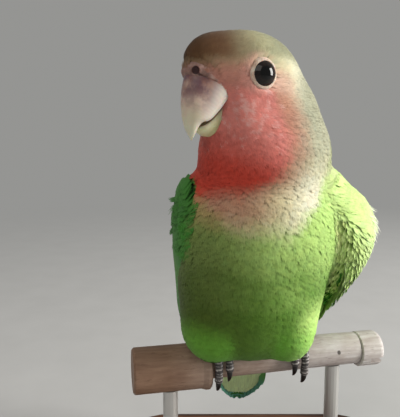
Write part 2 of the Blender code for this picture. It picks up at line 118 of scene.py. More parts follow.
def head(forward, left, up):
    """A point given in head coordinates."""
    return HEAD_POINT + forward * HEAD_FORWARD + left * HEAD_LEFT + up * HEAD_UP


def in_head(p):
    """Points in head coordinates: forward, left and up."""
    return (p - HEAD_POINT) @ HEAD_AXES.T


def eye_axis(side):
    """The way an eye looks: side is 1 for the left one and -1 for the right one."""
    return unit(side * math.cos(EYE_FORWARD_TURN) * HEAD_LEFT
                + math.sin(EYE_FORWARD_TURN) * HEAD_FORWARD)


def eye_centre(side):
    return head(0, side * EYE_APEX, 0) - eye_axis(side) * EYE_RADIUS


# Body surface, as in the solids

TRUNK_AXES = np.eye(3)
BACK_LEAN = math.radians(20.0)
BACK_AXES = np.array(((1, 0, 0), (0, math.cos(BACK_LEAN), math.sin(BACK_LEAN)),
                      (0, -math.sin(BACK_LEAN), math.cos(BACK_LEAN))))
BLEND, WING_BLEND = 0.5, 0.6                    # how tightly lumps melt together
BODY = (
    ("belly", np.array((-3.2, -4.5, 27.0)), (22.6, 21.0, 22.5), TRUNK_AXES),
    ("breast", np.array((-0.8, -7.5, 42.0)), (22.8, 19.5, 23.0), TRUNK_AXES),
    ("shoulders", np.array((1.2, -3.0, 53.5)), (25.0, 13.5, 13.0), TRUNK_AXES),
    ("back", np.array((-1.3, 8.0, 33.0)), (18.0, 14.0, 30.0), BACK_AXES),
    ("vent", np.array((-2.0, 17.0, 8.0)), (10.5, 9.5, 12.0), BACK_AXES),
    ("thigh_left", np.array((8.0, -9.6, 14.0)), (7.9, 11.0, 10.2), TRUNK_AXES),
    ("thigh_right", np.array((-14.8, -9.8, 14.0)), (9.6, 11.2, 10.4), TRUNK_AXES),
    ("lap", np.array((-3.4, -9.6, 14.2)), (8.4, 10.0, 9.3), TRUNK_AXES),
    ("neck", np.array((0.3, -7.5, 66.8)), (19.6, 16.5, 16.0), TRUNK_AXES),
    ("nape", head(-11.9, -1.0, -11.0), (14.6, 12.5, 14.0), HEAD_AXES),
    ("cranium", head(-4.8, 0, -0.8), (14.2, 11.1, 13.3), HEAD_AXES),
    ("crown", head(1.5, 0, 3.2), (10.0, 8.0, 8.6), HEAD_AXES),
    ("forehead", head(9.4, 0, 2.7), (8.4, 6.8, 8.4), HEAD_AXES),
    ("cheek_left", head(-1.8, 4.6, -10.0), (8.0, 6.2, 8.5), HEAD_AXES),
    ("cheek_right", head(-1.8, -4.6, -10.0), (8.0, 6.2, 8.5), HEAD_AXES),
    ("chin", head(4.2, 0, -14.0), (6.4, 5.4, 5.0), HEAD_AXES),
)
SPINE = ((-1.6, 9.0, 12.0), (-1.5, 1.0, 28.0), (-1.5, -4.0, 46.0), (-2.5, -7.0, 64.0),
         (-5.5, -10.0, 79.0), (-8.2, -12.2, 90.0))
SPINE_BOTTOM_DIR = unit((0.0, 0.5, -0.87))
SPINE_TOP_DIR = unit((-0.12, -0.05, 1.0))
TWIST_FROM, TWIST_TO = 55.0, 80.0

PERCH_YAW = math.radians(12.0)
PERCH_DIR = np.array((math.cos(PERCH_YAW), math.sin(PERCH_YAW), 0.0))
PERCH_FRONT = np.array((math.sin(PERCH_YAW), -math.cos(PERCH_YAW), 0.0))
PERCH_RADIUS, PERCH_RADIUS_FAR = 5.7, 5.2
STEP_AT, SEAM_AT = -16.6, 35.2
SPECK_AT = PERCH_POINT + 26.6 * PERCH_DIR + 5.3 * PERCH_FRONT + 1.0 * UP    # a dark speck
FOOT_CLEARANCE, PERCH_AIR = 3.5, 0.4            # room for the feet, and the skin's own
BILL_MIDDLE = (13.0, 0, -4.0)                   # in head coordinates
FACE_DEPTH = 0.45                               # the coat's depth at the bill, and what it
HEAD_GAIN, BODY_GAIN = 0.75, 0.9                # gains over the head and below the neck


def ellipsoid_distance(p, centre, radii, axes):
    """Signed distance, nearly, to an ellipsoid."""
    q = (p - centre) @ axes.T
    k0 = np.linalg.norm(q / radii, axis=-1) + 1e-9
    k1 = np.linalg.norm(q / np.square(radii), axis=-1) + 1e-9
    return k0 * (k0 - 1) / k1


def merged(distances, softness):
    """Several signed distances as one, their joints filled."""
    total = sum(np.exp(-softness * np.clip(d, -60, 60)) for d in distances)
    return -np.log(total) / softness


def body_field(p):
    """Signed distance, nearly, to the surface that the feather tips reach."""
    return merged((ellipsoid_distance(p, *lump) for _name, *lump in BODY), BLEND)


def from_perch(p):
    """The way to points from the nearest point of the perch's axis."""
    return p - dot(p, PERCH_DIR) * PERCH_DIR


def bill_distance(p):
    return np.linalg.norm(in_head(p) - BILL_MIDDLE, axis=-1)


def coat_depth(p):
    """How deep the feathers are: thin round the bill and eyes, deep on the belly."""
    on_head = FACE_DEPTH + HEAD_GAIN * smooth(5, 24, bill_distance(p))
    return on_head + BODY_GAIN * smooth(76, 52, p[..., 2])


def skin_field(p):
    """The skin: the coat's depth inside the feather tips, and clear of perch and feet."""
    room = PERCH_RADIUS + FOOT_CLEARANCE + PERCH_AIR - np.linalg.norm(from_perch(p), axis=-1)
    return np.maximum(body_field(p) + coat_depth(p), room)


def gradient(field, p, step=0.2):
    """A field's values at points, and the ways in which it grows."""
    base = field(p)
    return base, unit(np.stack([field(p + step * e) - base for e in np.eye(3)], -1))


def surface_along(start, direction, field, reach=60.0):
    """Where rays that start inside a field's surface leave it."""
    near, far = np.zeros(start.shape[:-1]), np.full(start.shape[:-1], reach)
    for _ in range(24):
        mid = (near + far) / 2
        inside = field(start + mid[..., None] * direction) < 0
        near, far = np.where(inside, mid, near), np.where(inside, far, mid)
    return start + near[..., None] * direction


def skin_grid(stations, angles):
    """Points of the skin for stations along the spine and angles round it."""
    bottom = surface_along(np.array(SPINE[0]), SPINE_BOTTOM_DIR, skin_field)
    top = surface_along(np.array(SPINE[-1]), SPINE_TOP_DIR, skin_field)
    points = np.vstack([bottom, SPINE, top])
    centres = curve(points, stations)
    tangents = unit(curve(points, np.minimum(stations + 0.01, 1))
                    - curve(points, np.maximum(stations - 0.01, 0)))
    turn = smooth(TWIST_FROM, TWIST_TO, centres[:, 2]) * HEAD_YAW
    front = np.stack([-np.sin(turn), -np.cos(turn), 0 * turn], -1)
    front = unit(front - tangents * dot(tangents, front))
    left = np.cross(tangents, front)
    rays = (np.cos(angles)[None, :, None] * front[:, None]
            + np.sin(angles)[None, :, None] * left[:, None])
    starts = np.repeat(centres[:, None], len(angles), 1)
    return surface_along(starts, rays, skin_field), tangents


# Wings and tail, as in the solids

WING_PATHS = {
    "left": ((23.2, -9.0, 53.4), (27.0, -3.4, 42.8), (17.8, 11.3, 25.2), (11.2, 21.5, 5.0),
             (1.2, 30.0, -16.0)),
    "right": ((-23.0, -10.0, 54.0), (-24.0, -3.0, 43.0), (-21.0, 11.0, 25.0),
              (-15.5, 21.5, 5.0), (-6.2, 30.0, -16.0)),
}
WING_OUT = ((0.75, -0.6, 0.3), (0.97, -0.1, 0.2), (0.82, 0.55, 0.15), (0.55, 0.83, 0.1),
            (0.1, 0.99, 0.1))
WING_WIDTHS = (4.0, 12.5, 14.5, 10.0, 1.2)
WING_THICKS = {"left": (2.0, 8.6, 3.1, 2.2, 0.5), "right": (2.0, 3.6, 3.2, 2.2, 0.5)}
WING_CURL = 0.28
TAIL_PATH = ((-2.2, 14.0, 12.0), (-2.8, 20.5, -4.0), (-3.5, 27.0, -20.0),
             (-4.2, 31.5, -31.5))
TAIL_OUT = ((0, 0.9, 0.4), (0, 0.92, 0.38), (0, 0.93, 0.36), (0, 0.94, 0.34))
TAIL_WIDTHS = (6.0, 8.6, 8.8, 3.2)
TAIL_THICKS = (3.0, 2.0, 1.3, 0.6)
TAIL_CURL = 0.1


class Blade:
    """A folded wing or the tail: a flat tapering body along a path, curled at its edges."""

    STATIONS = 120

    def __init__(self, path, outs, widths, thicks, curl, inset=0.0):
        t = np.linspace(0, 1, self.STATIONS)
        self.centre = curve(path, t)
        ahead = unit(np.gradient(self.centre, axis=0))
        out = curve(outs, t)
        self.out = unit(out - ahead * dot(out, ahead))
        self.across = np.cross(ahead, self.out)
        self.ahead = ahead
        sizes = curve(np.c_[widths, thicks], t)
        self.wide = np.maximum(sizes[:, 0] - inset, 0.3)
        self.thick = np.maximum(sizes[:, 1] - inset, 0.15)
        self.curl = curl
        self.length = np.linalg.norm(np.diff(self.centre, axis=0), axis=-1).sum()

    def pick(self, table, t):
        x = np.clip(t, 0, 1) * (self.STATIONS - 1)
        i = np.minimum(x.astype(int), self.STATIONS - 2)
        f = x - i
        if table.ndim > 1:
            f = f[..., None]
        return table[i] * (1 - f) + table[i + 1] * f

    def at(self, t, angle, height=0.0):
        """A point of the surface: 0 is one edge, a quarter turn the outer face's middle."""
        c, s = np.cos(angle), np.sin(angle)
        wide, thick = self.pick(self.wide, t), self.pick(self.thick, t)
        over = thick * s - self.curl * wide * c * c
        across, out = self.pick(self.across, t), self.pick(self.out, t)
        flat = unit(np.stack([c / np.maximum(wide, 0.5), s / np.maximum(thick, 0.3)], -1))
        normal = across * flat[..., :1] + out * flat[..., 1:]
        beyond = (t - np.clip(t, 0, 1))[..., None] * self.length
        point = self.pick(self.centre, t) + self.pick(self.ahead, t) * beyond \
            + across * (wide * c)[..., None] + out * over[..., None]
        return point + normal * np.asarray(height)[..., None], normal

    def flat(self, t, offset, height, face=1.0):
        """A point over a face's even middle, offset millimetres to the side."""
        wide, thick = self.pick(self.wide, t), self.pick(self.thick, t)
        u = np.clip(offset / wide, -1.1, 1.1)
        over = face * thick * np.sqrt(np.maximum(1 - u * u, 0)) - self.curl * wide * u * u
        across, out = self.pick(self.across, t), self.pick(self.out, t)
        beyond = (t - np.clip(t, 0, 1))[..., None] * self.length
        point = self.pick(self.centre, t) + self.pick(self.ahead, t) * beyond \
            + across * offset[..., None] + out * (over + face * height)[..., None]
        slope = face * (thick / wide) * u / np.sqrt(np.maximum(1 - u * u, 0.2))
        return point, unit(face * (out + across * (slope + 2 * self.curl * u)[..., None] * face))


def wing_blade(side, inset=0.0):
    outs = [(x if side == "left" else -x, y, z) for x, y, z in WING_OUT]
    return Blade(WING_PATHS[side], outs, WING_WIDTHS, WING_THICKS[side], WING_CURL, inset)


def tail_blade(inset=0.0):
    return Blade(TAIL_PATH, TAIL_OUT, TAIL_WIDTHS, TAIL_THICKS, TAIL_CURL, inset)


LUMP_RANGE, LUMP_COUNT = (0.03, 0.48), 16       # stations along the wing
LUMP_DROP = 0.3                                 # share of the curl by which they sit lower
LUMP_SIZE = np.array((0.10, 1.02, 1.05))        # of the blade's length, width, thickness


def wing_lumps(side):
    """Ellipsoids that stand for the front of a wing where feathers flow over it."""
    blade = wing_blade(side)
    lumps = []
    for t in np.linspace(*LUMP_RANGE, LUMP_COUNT):
        at = np.array(t)
        centre, wide, thick, *axes = (blade.pick(table, at) for table in (
            blade.centre, blade.wide, blade.thick, blade.ahead, blade.across, blade.out))
        centre = centre - axes[2] * blade.curl * wide * LUMP_DROP
        radii = LUMP_SIZE * (blade.length, wide, thick)
        lumps.append((centre, radii, np.array(axes)))
    return lumps


WING_LUMPS = wing_lumps("left") + wing_lumps("right")


def wing_field(p):
    """Signed distance, nearly, to the front of the wings."""
    return np.min([ellipsoid_distance(p, *lump) for lump in WING_LUMPS], axis=0)


def cover_field(p):
    """Body and wings together, with their joint filled."""
    return merged((body_field(p), wing_field(p)), WING_BLEND)


# Colours of the plumage

PALETTE = {name: colour(code) for name, code in {
    "crown_front": "66462a", "crown_rear": "b6b48e", "lores": "a87766", "cheek": "f4988d",
    # painted highlight: pale pink glints on cheek and throat tufts
    "throat": "d44938", "painted_glint": "f9c9c0", "eye_edge": "e0ab9c", "behind_eye": "dfbba8",
    # ear: the neck side's own greyish green, darkened further as painted shade
    "ear": "97997c", "blush": "c2806a", "nape": "8ea05a", "band": "dfdaae",
    # painted light: the band's paler tone on the bird's lit left side
    "painted_light_band": "f6f2da", "breast": "bade7c", "belly": "628f2e", "vent": "56862f",
    # painted light: lime that brightens the bird's lit left flank low down
    # painted shade: olive that darkens the front of the bird's right breast and belly
    "thigh": "7cc842", "lime": "dcff94", "painted_shade_olive": "404210", "back": "4f9a3a",
    # down: near-white tips, painted light coming through the left shoulder's feathers
    # shoulder: painted light, the pale lime of the left wing's lit front and the bird's left
    # shoulder
    "rump": "2f7fc4", "rump_tip": "3fa0d8", "shoulder": "cdec90", "down": "f4f5e4",
    "wing": "468c34", "wing_edge": "6aa83e", "wing_dark": "2c5a30", "primary": "23282a",
    # tail, tail_tip and undertail: their own greens, lightened as painted light where the tail
    # lies in shade
    "tail": "68ae5a", "tail_tip": "62a898", "undertail": "cfe8ac",
}.items()}
BAND_LOW, BAND_CURVE = 45.0, 0.09   # height of the green's upper edge, and its rise outwards
BREAST_MIDDLE = -1.5                # how far along X the breast's middle line is
BIB_CENTRE, BIB_SIZE = (8.0, -14.0), (15.6, 20.8)      # forward and up, in head coordinates


def body_tones(p, wander):
    """Greens of the trunk: vivid below, lime on the breast, blue on the rump, with painted light
    on the bird's left shoulder and low flank and painted shade on the front of its right breast
    and belly.
    """
    c = PALETTE
    x, y, height = np.moveaxis(p, -1, 0)
    aside = np.abs(x - BREAST_MIDDLE)
    front = smooth(8, -4, y + 0.28 * (height - 40) + 0.5 * wander)
    green = mix(c["vent"], c["belly"], smooth(2, 14, height))
    green = mix(green, c["breast"], smooth(20, 47, height + 2 * wander))
    # painted light: the bird's left shoulder paled towards lit lime
    green = mix(green, c["shoulder"], smooth(10, 19, x) * smooth(44, 56, height))
    back = mix(c["back"], c["nape"], smooth(50, 78, height))
    tones = mix(back, green, front)
    # painted light: the bird's left flank, low down, brightened to lime
    painted_light_flank = 0.95 * smooth(5, 13, x) * smooth(28, 15, height) * front
    tones = mix(tones, c["lime"], painted_light_flank)
    rump = smooth(13, 18, y) * smooth(27, 19, height + 0.6 * wander) * smooth(13, 9, aside)
    # painted shade: the front of the bird's right breast and belly darkened towards olive
    shaded = 0.66 * smooth(4, -16, x) * front * smooth(56, 42, height) \
        * smooth(4, 16, height)
    tones = mix(tones, c["painted_shade_olive"], shaded)
    thighs = 0.55 * smooth(3.5, 8.5, np.abs(x + 3.4)) * smooth(20, 12, height) * front
    tones = mix(tones, c["thigh"], thighs)
    return mix(tones, c["rump"], rump)


def bib_tones(tones, p, f, z, wander):
    """The salmon bib, deep red at the throat, with a blush round its soft edge."""
    c = PALETTE
    reach = np.hypot((f - BIB_CENTRE[0]) / BIB_SIZE[0], (z - BIB_CENTRE[1]) / BIB_SIZE[1]) \
        + 0.03 * wander
    under_eye = smooth(3.0, -1.5, z + 0.15 * wander)
    blush = smooth(1.50, 0.95, reach) * smooth(6.0, -3.0, z)
    tones = mix(tones, c["blush"], 0.88 * blush)
    deep = smooth(-10, -24, z - 0.55 * f + 5)
    bib = mix(c["cheek"], c["throat"], deep)
    pull = smooth(3.0, -6.0, f) * smooth(-20, -10, z)
    bib = bib * (1 - 0.25 * pull)[..., None]
    return mix(tones, bib, smooth(1.15, 0.84, reach + 0.18 * pull) * under_eye)


def paint(p):
    """The plumage's markings at points of the body, as linear colours; the band is paler on the
    bird's left as painted light, and the ear's grey is darkened as painted shade.
    """
    f, w, z = np.moveaxis(in_head(p), -1, 0)
    x, y, height = np.moveaxis(p, -1, 0)
    wander = 1.6 * ripple(p, 14, 1.0) + 0.9 * ripple(p, 5, 2.0)
    c = PALETTE
    tones = body_tones(p, wander)
    side = np.maximum(np.abs(x - BREAST_MIDDLE) - 4, 0)
    edge = BAND_LOW + BAND_CURVE * side ** 2
    band = smooth(-4.0, 3.0, height - edge + wander) * smooth(6, -6, y + 0.1 * x)
    band_tone = mix(c["band"], c["blush"], 0.32 * smooth(2, -8, x))
    # painted light: the band paled towards the bird's left
    band_tone = mix(band_tone, c["painted_light_band"], smooth(1, 12, x))
    tones = mix(tones, band_tone, band)
    ear = smooth(50, 66, height + wander) * smooth(1, 10, x - 0.12 * (height - 62))
    nape = smooth(56, 70, height + wander)
    tones = mix(tones, c["nape"], nape * (1 - band))
    # the ear's tone is partly its own greyish green, partly painted shade
    ear_tone = mix(c["ear"], c["band"], 0.5 * smooth(70, 60, height))
    tones = mix(tones, ear_tone, 0.8 * ear * smooth(6, -4, y))
    rear = smooth(-0.5, 6.0, z + 0.12 * f + 0.5 * wander)
    to_nape = 0.8 * smooth(0.0, -8.0, f)
    tones = mix(tones, mix(c["crown_rear"], c["ear"], to_nape), rear)
    tones = bib_tones(tones, p, f, z, wander)
    lores = smooth(2.0, 7.0, f) * smooth(-6.5, -1.5, z) * smooth(6.0, 0.5, z)
    tones = mix(tones, c["lores"], 0.85 * lores)
    crown = smooth(-5.0, 11.0, f + 0.4 * wander) * smooth(-0.5, 5.5, z + 0.1 * wander)
    tones = mix(tones, c["crown_front"], crown)
    rim = smooth(7.0, 4.2, np.hypot(f, z)) * smooth(5, 9, np.abs(w))
    tones = mix(tones, c["eye_edge"], 0.7 * rim)
    behind = smooth(4.5, 1.5, np.hypot((f + 6.4) / 1.2, z + 2.4 + 0.2 * wander))
    return mix(tones, c["behind_eye"], 0.60 * behind * smooth(4, 8, np.abs(w)))


# Materials

def tone_of(value):
    """A linear colour from a hexadecimal one, or a grey from a number."""
    return tuple(colour(value)) if isinstance(value, str) else (value,) * 3


class Material:
    """A Principled material with its constant sockets set, and nodes added step by step."""

    def __init__(self, name, **sockets):
        self.made = bpy.data.materials.new(name)
        self.made.use_nodes = True
        self.tree = self.made.node_tree
        self.link = self.tree.links.new
        self.shader = self.tree.nodes["Principled BSDF"]
        for socket, value in sockets.items():
            self.shader.inputs[socket.replace("_", " ")].default_value = value

    def node(self, kind, inputs=(), **settings):
        made = self.tree.nodes.new(kind)
        for name, value in settings.items():
            setattr(made, name, value)
        for key, value in dict(inputs).items():
            if isinstance(value, bpy.types.NodeSocket):
                self.link(value, made.inputs[key])
            else:
                made.inputs[key].default_value = value
        return made

    def attribute(self, name, output="Fac"):
        return self.node("ShaderNodeAttribute", attribute_name=name).outputs[output]

    def place(self, stretch=(1, 1, 1), turn=(0, 0, 0), coords=None):
        """Object coordinates, or those given, stretched and turned."""
        if coords is None:
            coords = self.node("ShaderNodeTexCoord").outputs["Object"]
        return self.node("ShaderNodeMapping", {"Vector": coords, "Scale": stretch,
                                               "Rotation": turn}).outputs["Vector"]

    def noise(self, where, scale, detail=3.0, roughness=0.5):
        return self.node("ShaderNodeTexNoise", {"Vector": where, "Scale": scale, "Detail": detail,
                                                "Roughness": roughness}).outputs["Fac"]

    def ramp(self, value, *stops):
        """Tones between stops, each a place from 0 to 1 and a tone."""
        made = self.node("ShaderNodeValToRGB", {"Fac": value})
        elements = made.color_ramp.elements
        while len(elements) < len(stops):
            elements.new(0.5)
        for element, (position, tone) in zip(elements, stops):
            element.position = position
            element.color = (*tone_of(tone), 1.0)
        return made.outputs["Color"]

    def maths(self, operation, a, b=0.0):
        return self.node("ShaderNodeMath", {0: a, 1: b}, operation=operation).outputs["Value"]

    def plus(self, a, b):
        return self.maths("ADD", a, b)

    def minus(self, a, b):
        return self.maths("SUBTRACT", a, b)

    def times(self, a, b):
        return self.maths("MULTIPLY", a, b)

    def over(self, factor, below, above, kind="MIX"):
        """One colour laid over another."""
        made = self.node("ShaderNodeMix", {"Factor": factor}, data_type="RGBA", blend_type=kind)
        for socket, value in zip((made.inputs[6], made.inputs[7]), (below, above)):
            if isinstance(value, bpy.types.NodeSocket):
                self.link(value, socket)
            else:
                socket.default_value = (*tone_of(value), 1.0)
        return made.outputs[2]

    def tinted(self, factor, base, tint):
        return self.over(factor, base, tint, "MULTIPLY")

    def finish(self, tone, height, strength, distance, roughness=None):
        """Links colour, relief and, if given, roughness to the shader."""
        self.link(tone, self.shader.inputs["Base Color"])
        if roughness is not None:
            self.link(roughness, self.shader.inputs["Roughness"])
        bump = self.node("ShaderNodeBump", {"Strength": strength, "Distance": distance,
                                            "Height": height})
        self.link(bump.outputs["Normal"], self.shader.inputs["Normal"])
        return self.made


BARB_SLANT, SHAFT_HALF = 0.32, 0.05     # of a vane: its barbs' slope, half its shaft's width
BARB_SHADE = 0.05


def plumage_material(name, roughness=0.66, barbs=14.0, shaft_shade=0.10):
    """Feather vanes: painted colour, with a shaft and slanting barbs."""
    m = Material(name, Roughness=roughness, Specular_IOR_Level=0.18, Sheen_Weight=0.09,
                 Sheen_Roughness=0.5)
    vane = m.node("ShaderNodeSeparateXYZ", {0: m.attribute("vane", "Vector")}).outputs
    across = m.maths("ABSOLUTE", vane[0])
    slant = m.minus(m.times(vane[1], barbs), m.times(across, barbs * BARB_SLANT))
    lines = m.maths("SINE", m.times(slant, 2 * math.pi))
    shaft = m.maths("LESS_THAN", across, SHAFT_HALF)
    tone = m.minus(m.plus(m.times(lines, BARB_SHADE), 0.97), m.times(shaft, shaft_shade))
    shade = m.node("ShaderNodeCombineColor", {0: tone, 1: tone, 2: tone}).outputs[0]
    painted = m.tinted(1.0, m.attribute("plumage", "Color"), shade)
    return m.finish(painted, lines, 0.25, 0.00005)


def skin_material():
    """Skin and down under the feathers, in the plumage's own markings."""
    m = Material("skin", Roughness=0.8, Specular_IOR_Level=0.2)
    fluff = m.noise(m.place(), 900.0, 4.0, 0.6)
    shade = m.ramp(fluff, (0.3, 0.72), (0.7, 1.0))
    painted = m.tinted(1.0, m.attribute("plumage", "Color"), shade)
    return m.finish(painted, fluff, 0.5, 0.0003)


def bare_skin_material():
    """The pale bare ring round each eye, finely pebbled."""
    m = Material("eye_ring", Roughness=0.5, Specular_IOR_Level=0.4, Subsurface_Weight=0.15,
                 Subsurface_Scale=0.0006)
    where = m.place()
    pebbles = m.node("ShaderNodeTexVoronoi", {"Vector": where, "Scale": 2600.0})
    pebbles = pebbles.outputs["Distance"]
    tone = m.ramp(pebbles, (0.0, "f3e9dc"), (0.6, "c9b3a2"))
    patches = m.ramp(m.noise(where, 500.0), (0.35, "d8c0ae"), (0.65, "fbf4ea"))
    return m.finish(m.tinted(0.6, patches, tone), pebbles, 0.5, 0.0001)


def cere_material():
    """Dusky pink skin over the bill's root, dark red inside the nostrils and their creases,
    darkened as painted shade.
    """
    m = Material("cere", Roughness=0.55, Subsurface_Weight=0.15, Subsurface_Scale=0.0008)
    where = m.place()
    tone = m.ramp(m.noise(where, 520.0, 4.0), (0.3, "75554c"), (0.52, "937066"),
                  (0.75, "b0948d"))
    # painted shade: the pit attribute darkens nostrils and creases towards dark red
    pit = m.ramp(m.attribute("pit"), (0.05, 0), (0.3, 0.8), (0.55, 1))
    return m.finish(m.over(pit, tone, "32090a"), m.noise(where, 1500.0), 0.35, 0.0001)


def bill_material(name, stops, mark, mark_amount, highlight_amount):
    """Horn that changes along its length, with dusky marks, growth lines and a painted highlight
    along its cutting edges.
    """
    m = Material(name, Roughness=0.34, Specular_IOR_Level=0.5, Subsurface_Weight=0.25,
                 Subsurface_Scale=0.0012, Coat_Weight=0.15, Coat_Roughness=0.3)
    where, along = m.place(), m.attribute("along")
    uneven = m.times(m.minus(m.noise(where, 260.0, 4.0), 0.5), 0.34)
    tone = m.ramp(m.plus(along, uneven), *stops)
    blotch = m.ramp(m.noise(where, 270.0, 3.0, 0.6), (0.44, 0), (0.60, 1))
    near_base = m.ramp(along, (0.1, mark_amount), (0.30, mark_amount),
                       (0.48, mark_amount * 0.5), (0.62, 0))
    tone = m.over(m.tinted(1.0, blotch, near_base), tone, mark)
    # painted highlight along the cutting edges
    tone = m.over(m.times(m.attribute("rim"), highlight_amount), tone, "f0e8dc")
    growth = m.maths("SINE", m.times(m.plus(along, m.times(uneven, 0.2)), 150.0))
    flaw = m.noise(m.place((1, 1, 0.35)), 1400.0, 4.0)
    height = m.plus(m.times(growth, 0.3), flaw)
    return m.finish(tone, height, 0.22, 0.00008, m.plus(m.times(flaw, 0.3), 0.2))


def eye_material():
    """A near-black brown iris round a black pupil, under a wet cornea."""
    m = Material("eye", Roughness=0.08, Specular_IOR_Level=0.28, Coat_Weight=0.12,
                 Coat_Roughness=0.03)
    fibres = m.noise(m.place(), 2200.0, 4.0)
    brown = m.ramp(fibres, (0.35, "0e0908"), (0.7, "241813"))
    return m.finish(m.over(m.attribute("iris"), "030303", brown), fibres, 0.05, 0.00002)


def foot_material():
    """Dark grey scales with pale edges, a painted highlight."""
    m = Material("foot_skin", Roughness=0.40, Specular_IOR_Level=0.6)
    where = m.place()
    dark = m.ramp(m.noise(where, 700.0, 4.0), (0.3, "2b2727"), (0.7, "4a4443"))
    # painted highlight: pale scale edges, broken up by noise
    painted_highlight_breakup = m.ramp(m.noise(where, 1500.0, 2.0), (0.36, 0.15), (0.60, 0.95))
    tone = m.over(m.times(m.attribute("edge"), painted_highlight_breakup), dark, "cbc4c1")
    cells = m.node("ShaderNodeTexVoronoi", {"Vector": where, "Scale": 1500.0},
                   feature="DISTANCE_TO_EDGE").outputs["Distance"]
    return m.finish(tone, cells, 0.4, 0.0001)


def claw_material():
    """Near-black horn, greyer at the tip."""
    m = Material("claw_horn", Roughness=0.38, Specular_IOR_Level=0.5)
    grain = m.noise(m.place((3, 3, 0.6)), 900.0)
    tone = m.ramp(m.plus(m.attribute("along"), m.times(grain, 0.3)), (0.2, "1a1716"),
                  (0.8, "0d0b0b"), (1.0, "3a3330"))
    return m.finish(tone, grain, 0.2, 0.00008)


def perch_material():
    """Worn pale wood along the perch, with stains, scratches and one dark speck; painted shade
    darkens its left end and painted light pales its right.
    """
    m = Material("perch_wood", Roughness=0.6, Specular_IOR_Level=0.35)
    line = m.place(turn=(0, 0, -PERCH_YAW))
    grain = m.noise(m.place((0.12, 1, 1), coords=line), 900.0, 5.0, 0.6)
    tone = m.ramp(grain, (0.3, "b5aaa4"), (0.55, "cbc3be"), (0.75, "dedad6"))
    stain = m.ramp(m.noise(line, 95.0, 4.0, 0.6), (0.42, 0), (0.68, 0.55))
    tone = m.over(stain, tone, "a08b80")
    scratch = m.noise(m.place((0.25, 1, 1), (0, 0, 0.3), line), 1600.0, 2.0)
    tone = m.over(m.ramp(scratch, (0.62, 0), (0.7, 0.5)), tone, "8f8078")
    run = m.node("ShaderNodeSeparateXYZ", {0: line}).outputs[0]
    # painted shade towards the perch's left end and painted light towards its right end
    painted_light_and_shade = m.ramp(m.plus(m.times(run, 12.0), 0.5), (0.1, "b0917a"), (0.4, "dccbbf"),
                  (0.75, "f0f2f6"), (0.95, "fbfdff"))
    tone = m.tinted(1.0, tone, painted_light_and_shade)
    off = m.node("ShaderNodeVectorMath", {0: m.place(), 1: tuple(SPECK_AT * MM)},
                 operation="DISTANCE").outputs["Value"]
    off = m.plus(off, m.times(m.minus(m.noise(line, 1500.0), 0.5), 0.0006))
    speck = m.ramp(m.times(off, 1000.0), (0.55, 0.85), (0.8, 0))
    return m.finish(m.over(speck, tone, "2e2622"), grain, 0.25, 0.0003,
                    m.ramp(grain, (0.3, 0.45), (0.7, 0.7)))


def stand_wood_material():
    """Dark oiled wood with rings and pores."""
    m = Material("stand_wood", Roughness=0.55, Coat_Weight=0.08, Coat_Roughness=0.4,
                 Specular_IOR_Level=0.3)
    rings = m.node("ShaderNodeTexWave", {"Vector": m.place((0.12, 1, 1)), "Scale": 90.0,
                                         "Distortion": 7.0, "Detail": 3.0,
                                         "Detail Scale": 1.6},
                   bands_direction="Y").outputs["Fac"]
    pores = m.noise(m.place((0.08, 1, 1)), 2200.0)
    tone = m.ramp(rings, (0.1, "3a241a"), (0.6, "553626"), (0.95, "6b4630"))
    tone = m.tinted(0.5, tone, m.ramp(pores, (0.35, 0.45), (0.55, 1.0)))
    return m.finish(tone, pores, 0.15, 0.0002, m.ramp(pores, (0.3, 0.55), (0.7, 0.36)))


def floor_material():
    """A pale floor that fades into the surround."""
    m = Material("floor", Roughness=0.8, Specular_IOR_Level=0.2)
    speckle = m.ramp(m.noise(m.place(), 40.0), (0.3, 0.52), (0.7, 0.55))
    m.link(speckle, m.shader.inputs["Base Color"])
    coords = m.node("ShaderNodeTexCoord").outputs["Object"]
    away = m.node("ShaderNodeVectorMath", {0: coords}, operation="LENGTH").outputs["Value"]
    far = m.ramp(m.times(away, 0.5), (0.06, 0), (0.45, 1))
    glow = m.node("ShaderNodeEmission", {"Color": (*SURROUND, 1)}).outputs[0]
    mixed = m.node("ShaderNodeMixShader", {0: far, 1: m.shader.outputs[0], 2: glow})
    m.link(mixed.outputs[0], m.tree.nodes["Material Output"].inputs["Surface"])
    return m.made


# Meshes from arrays

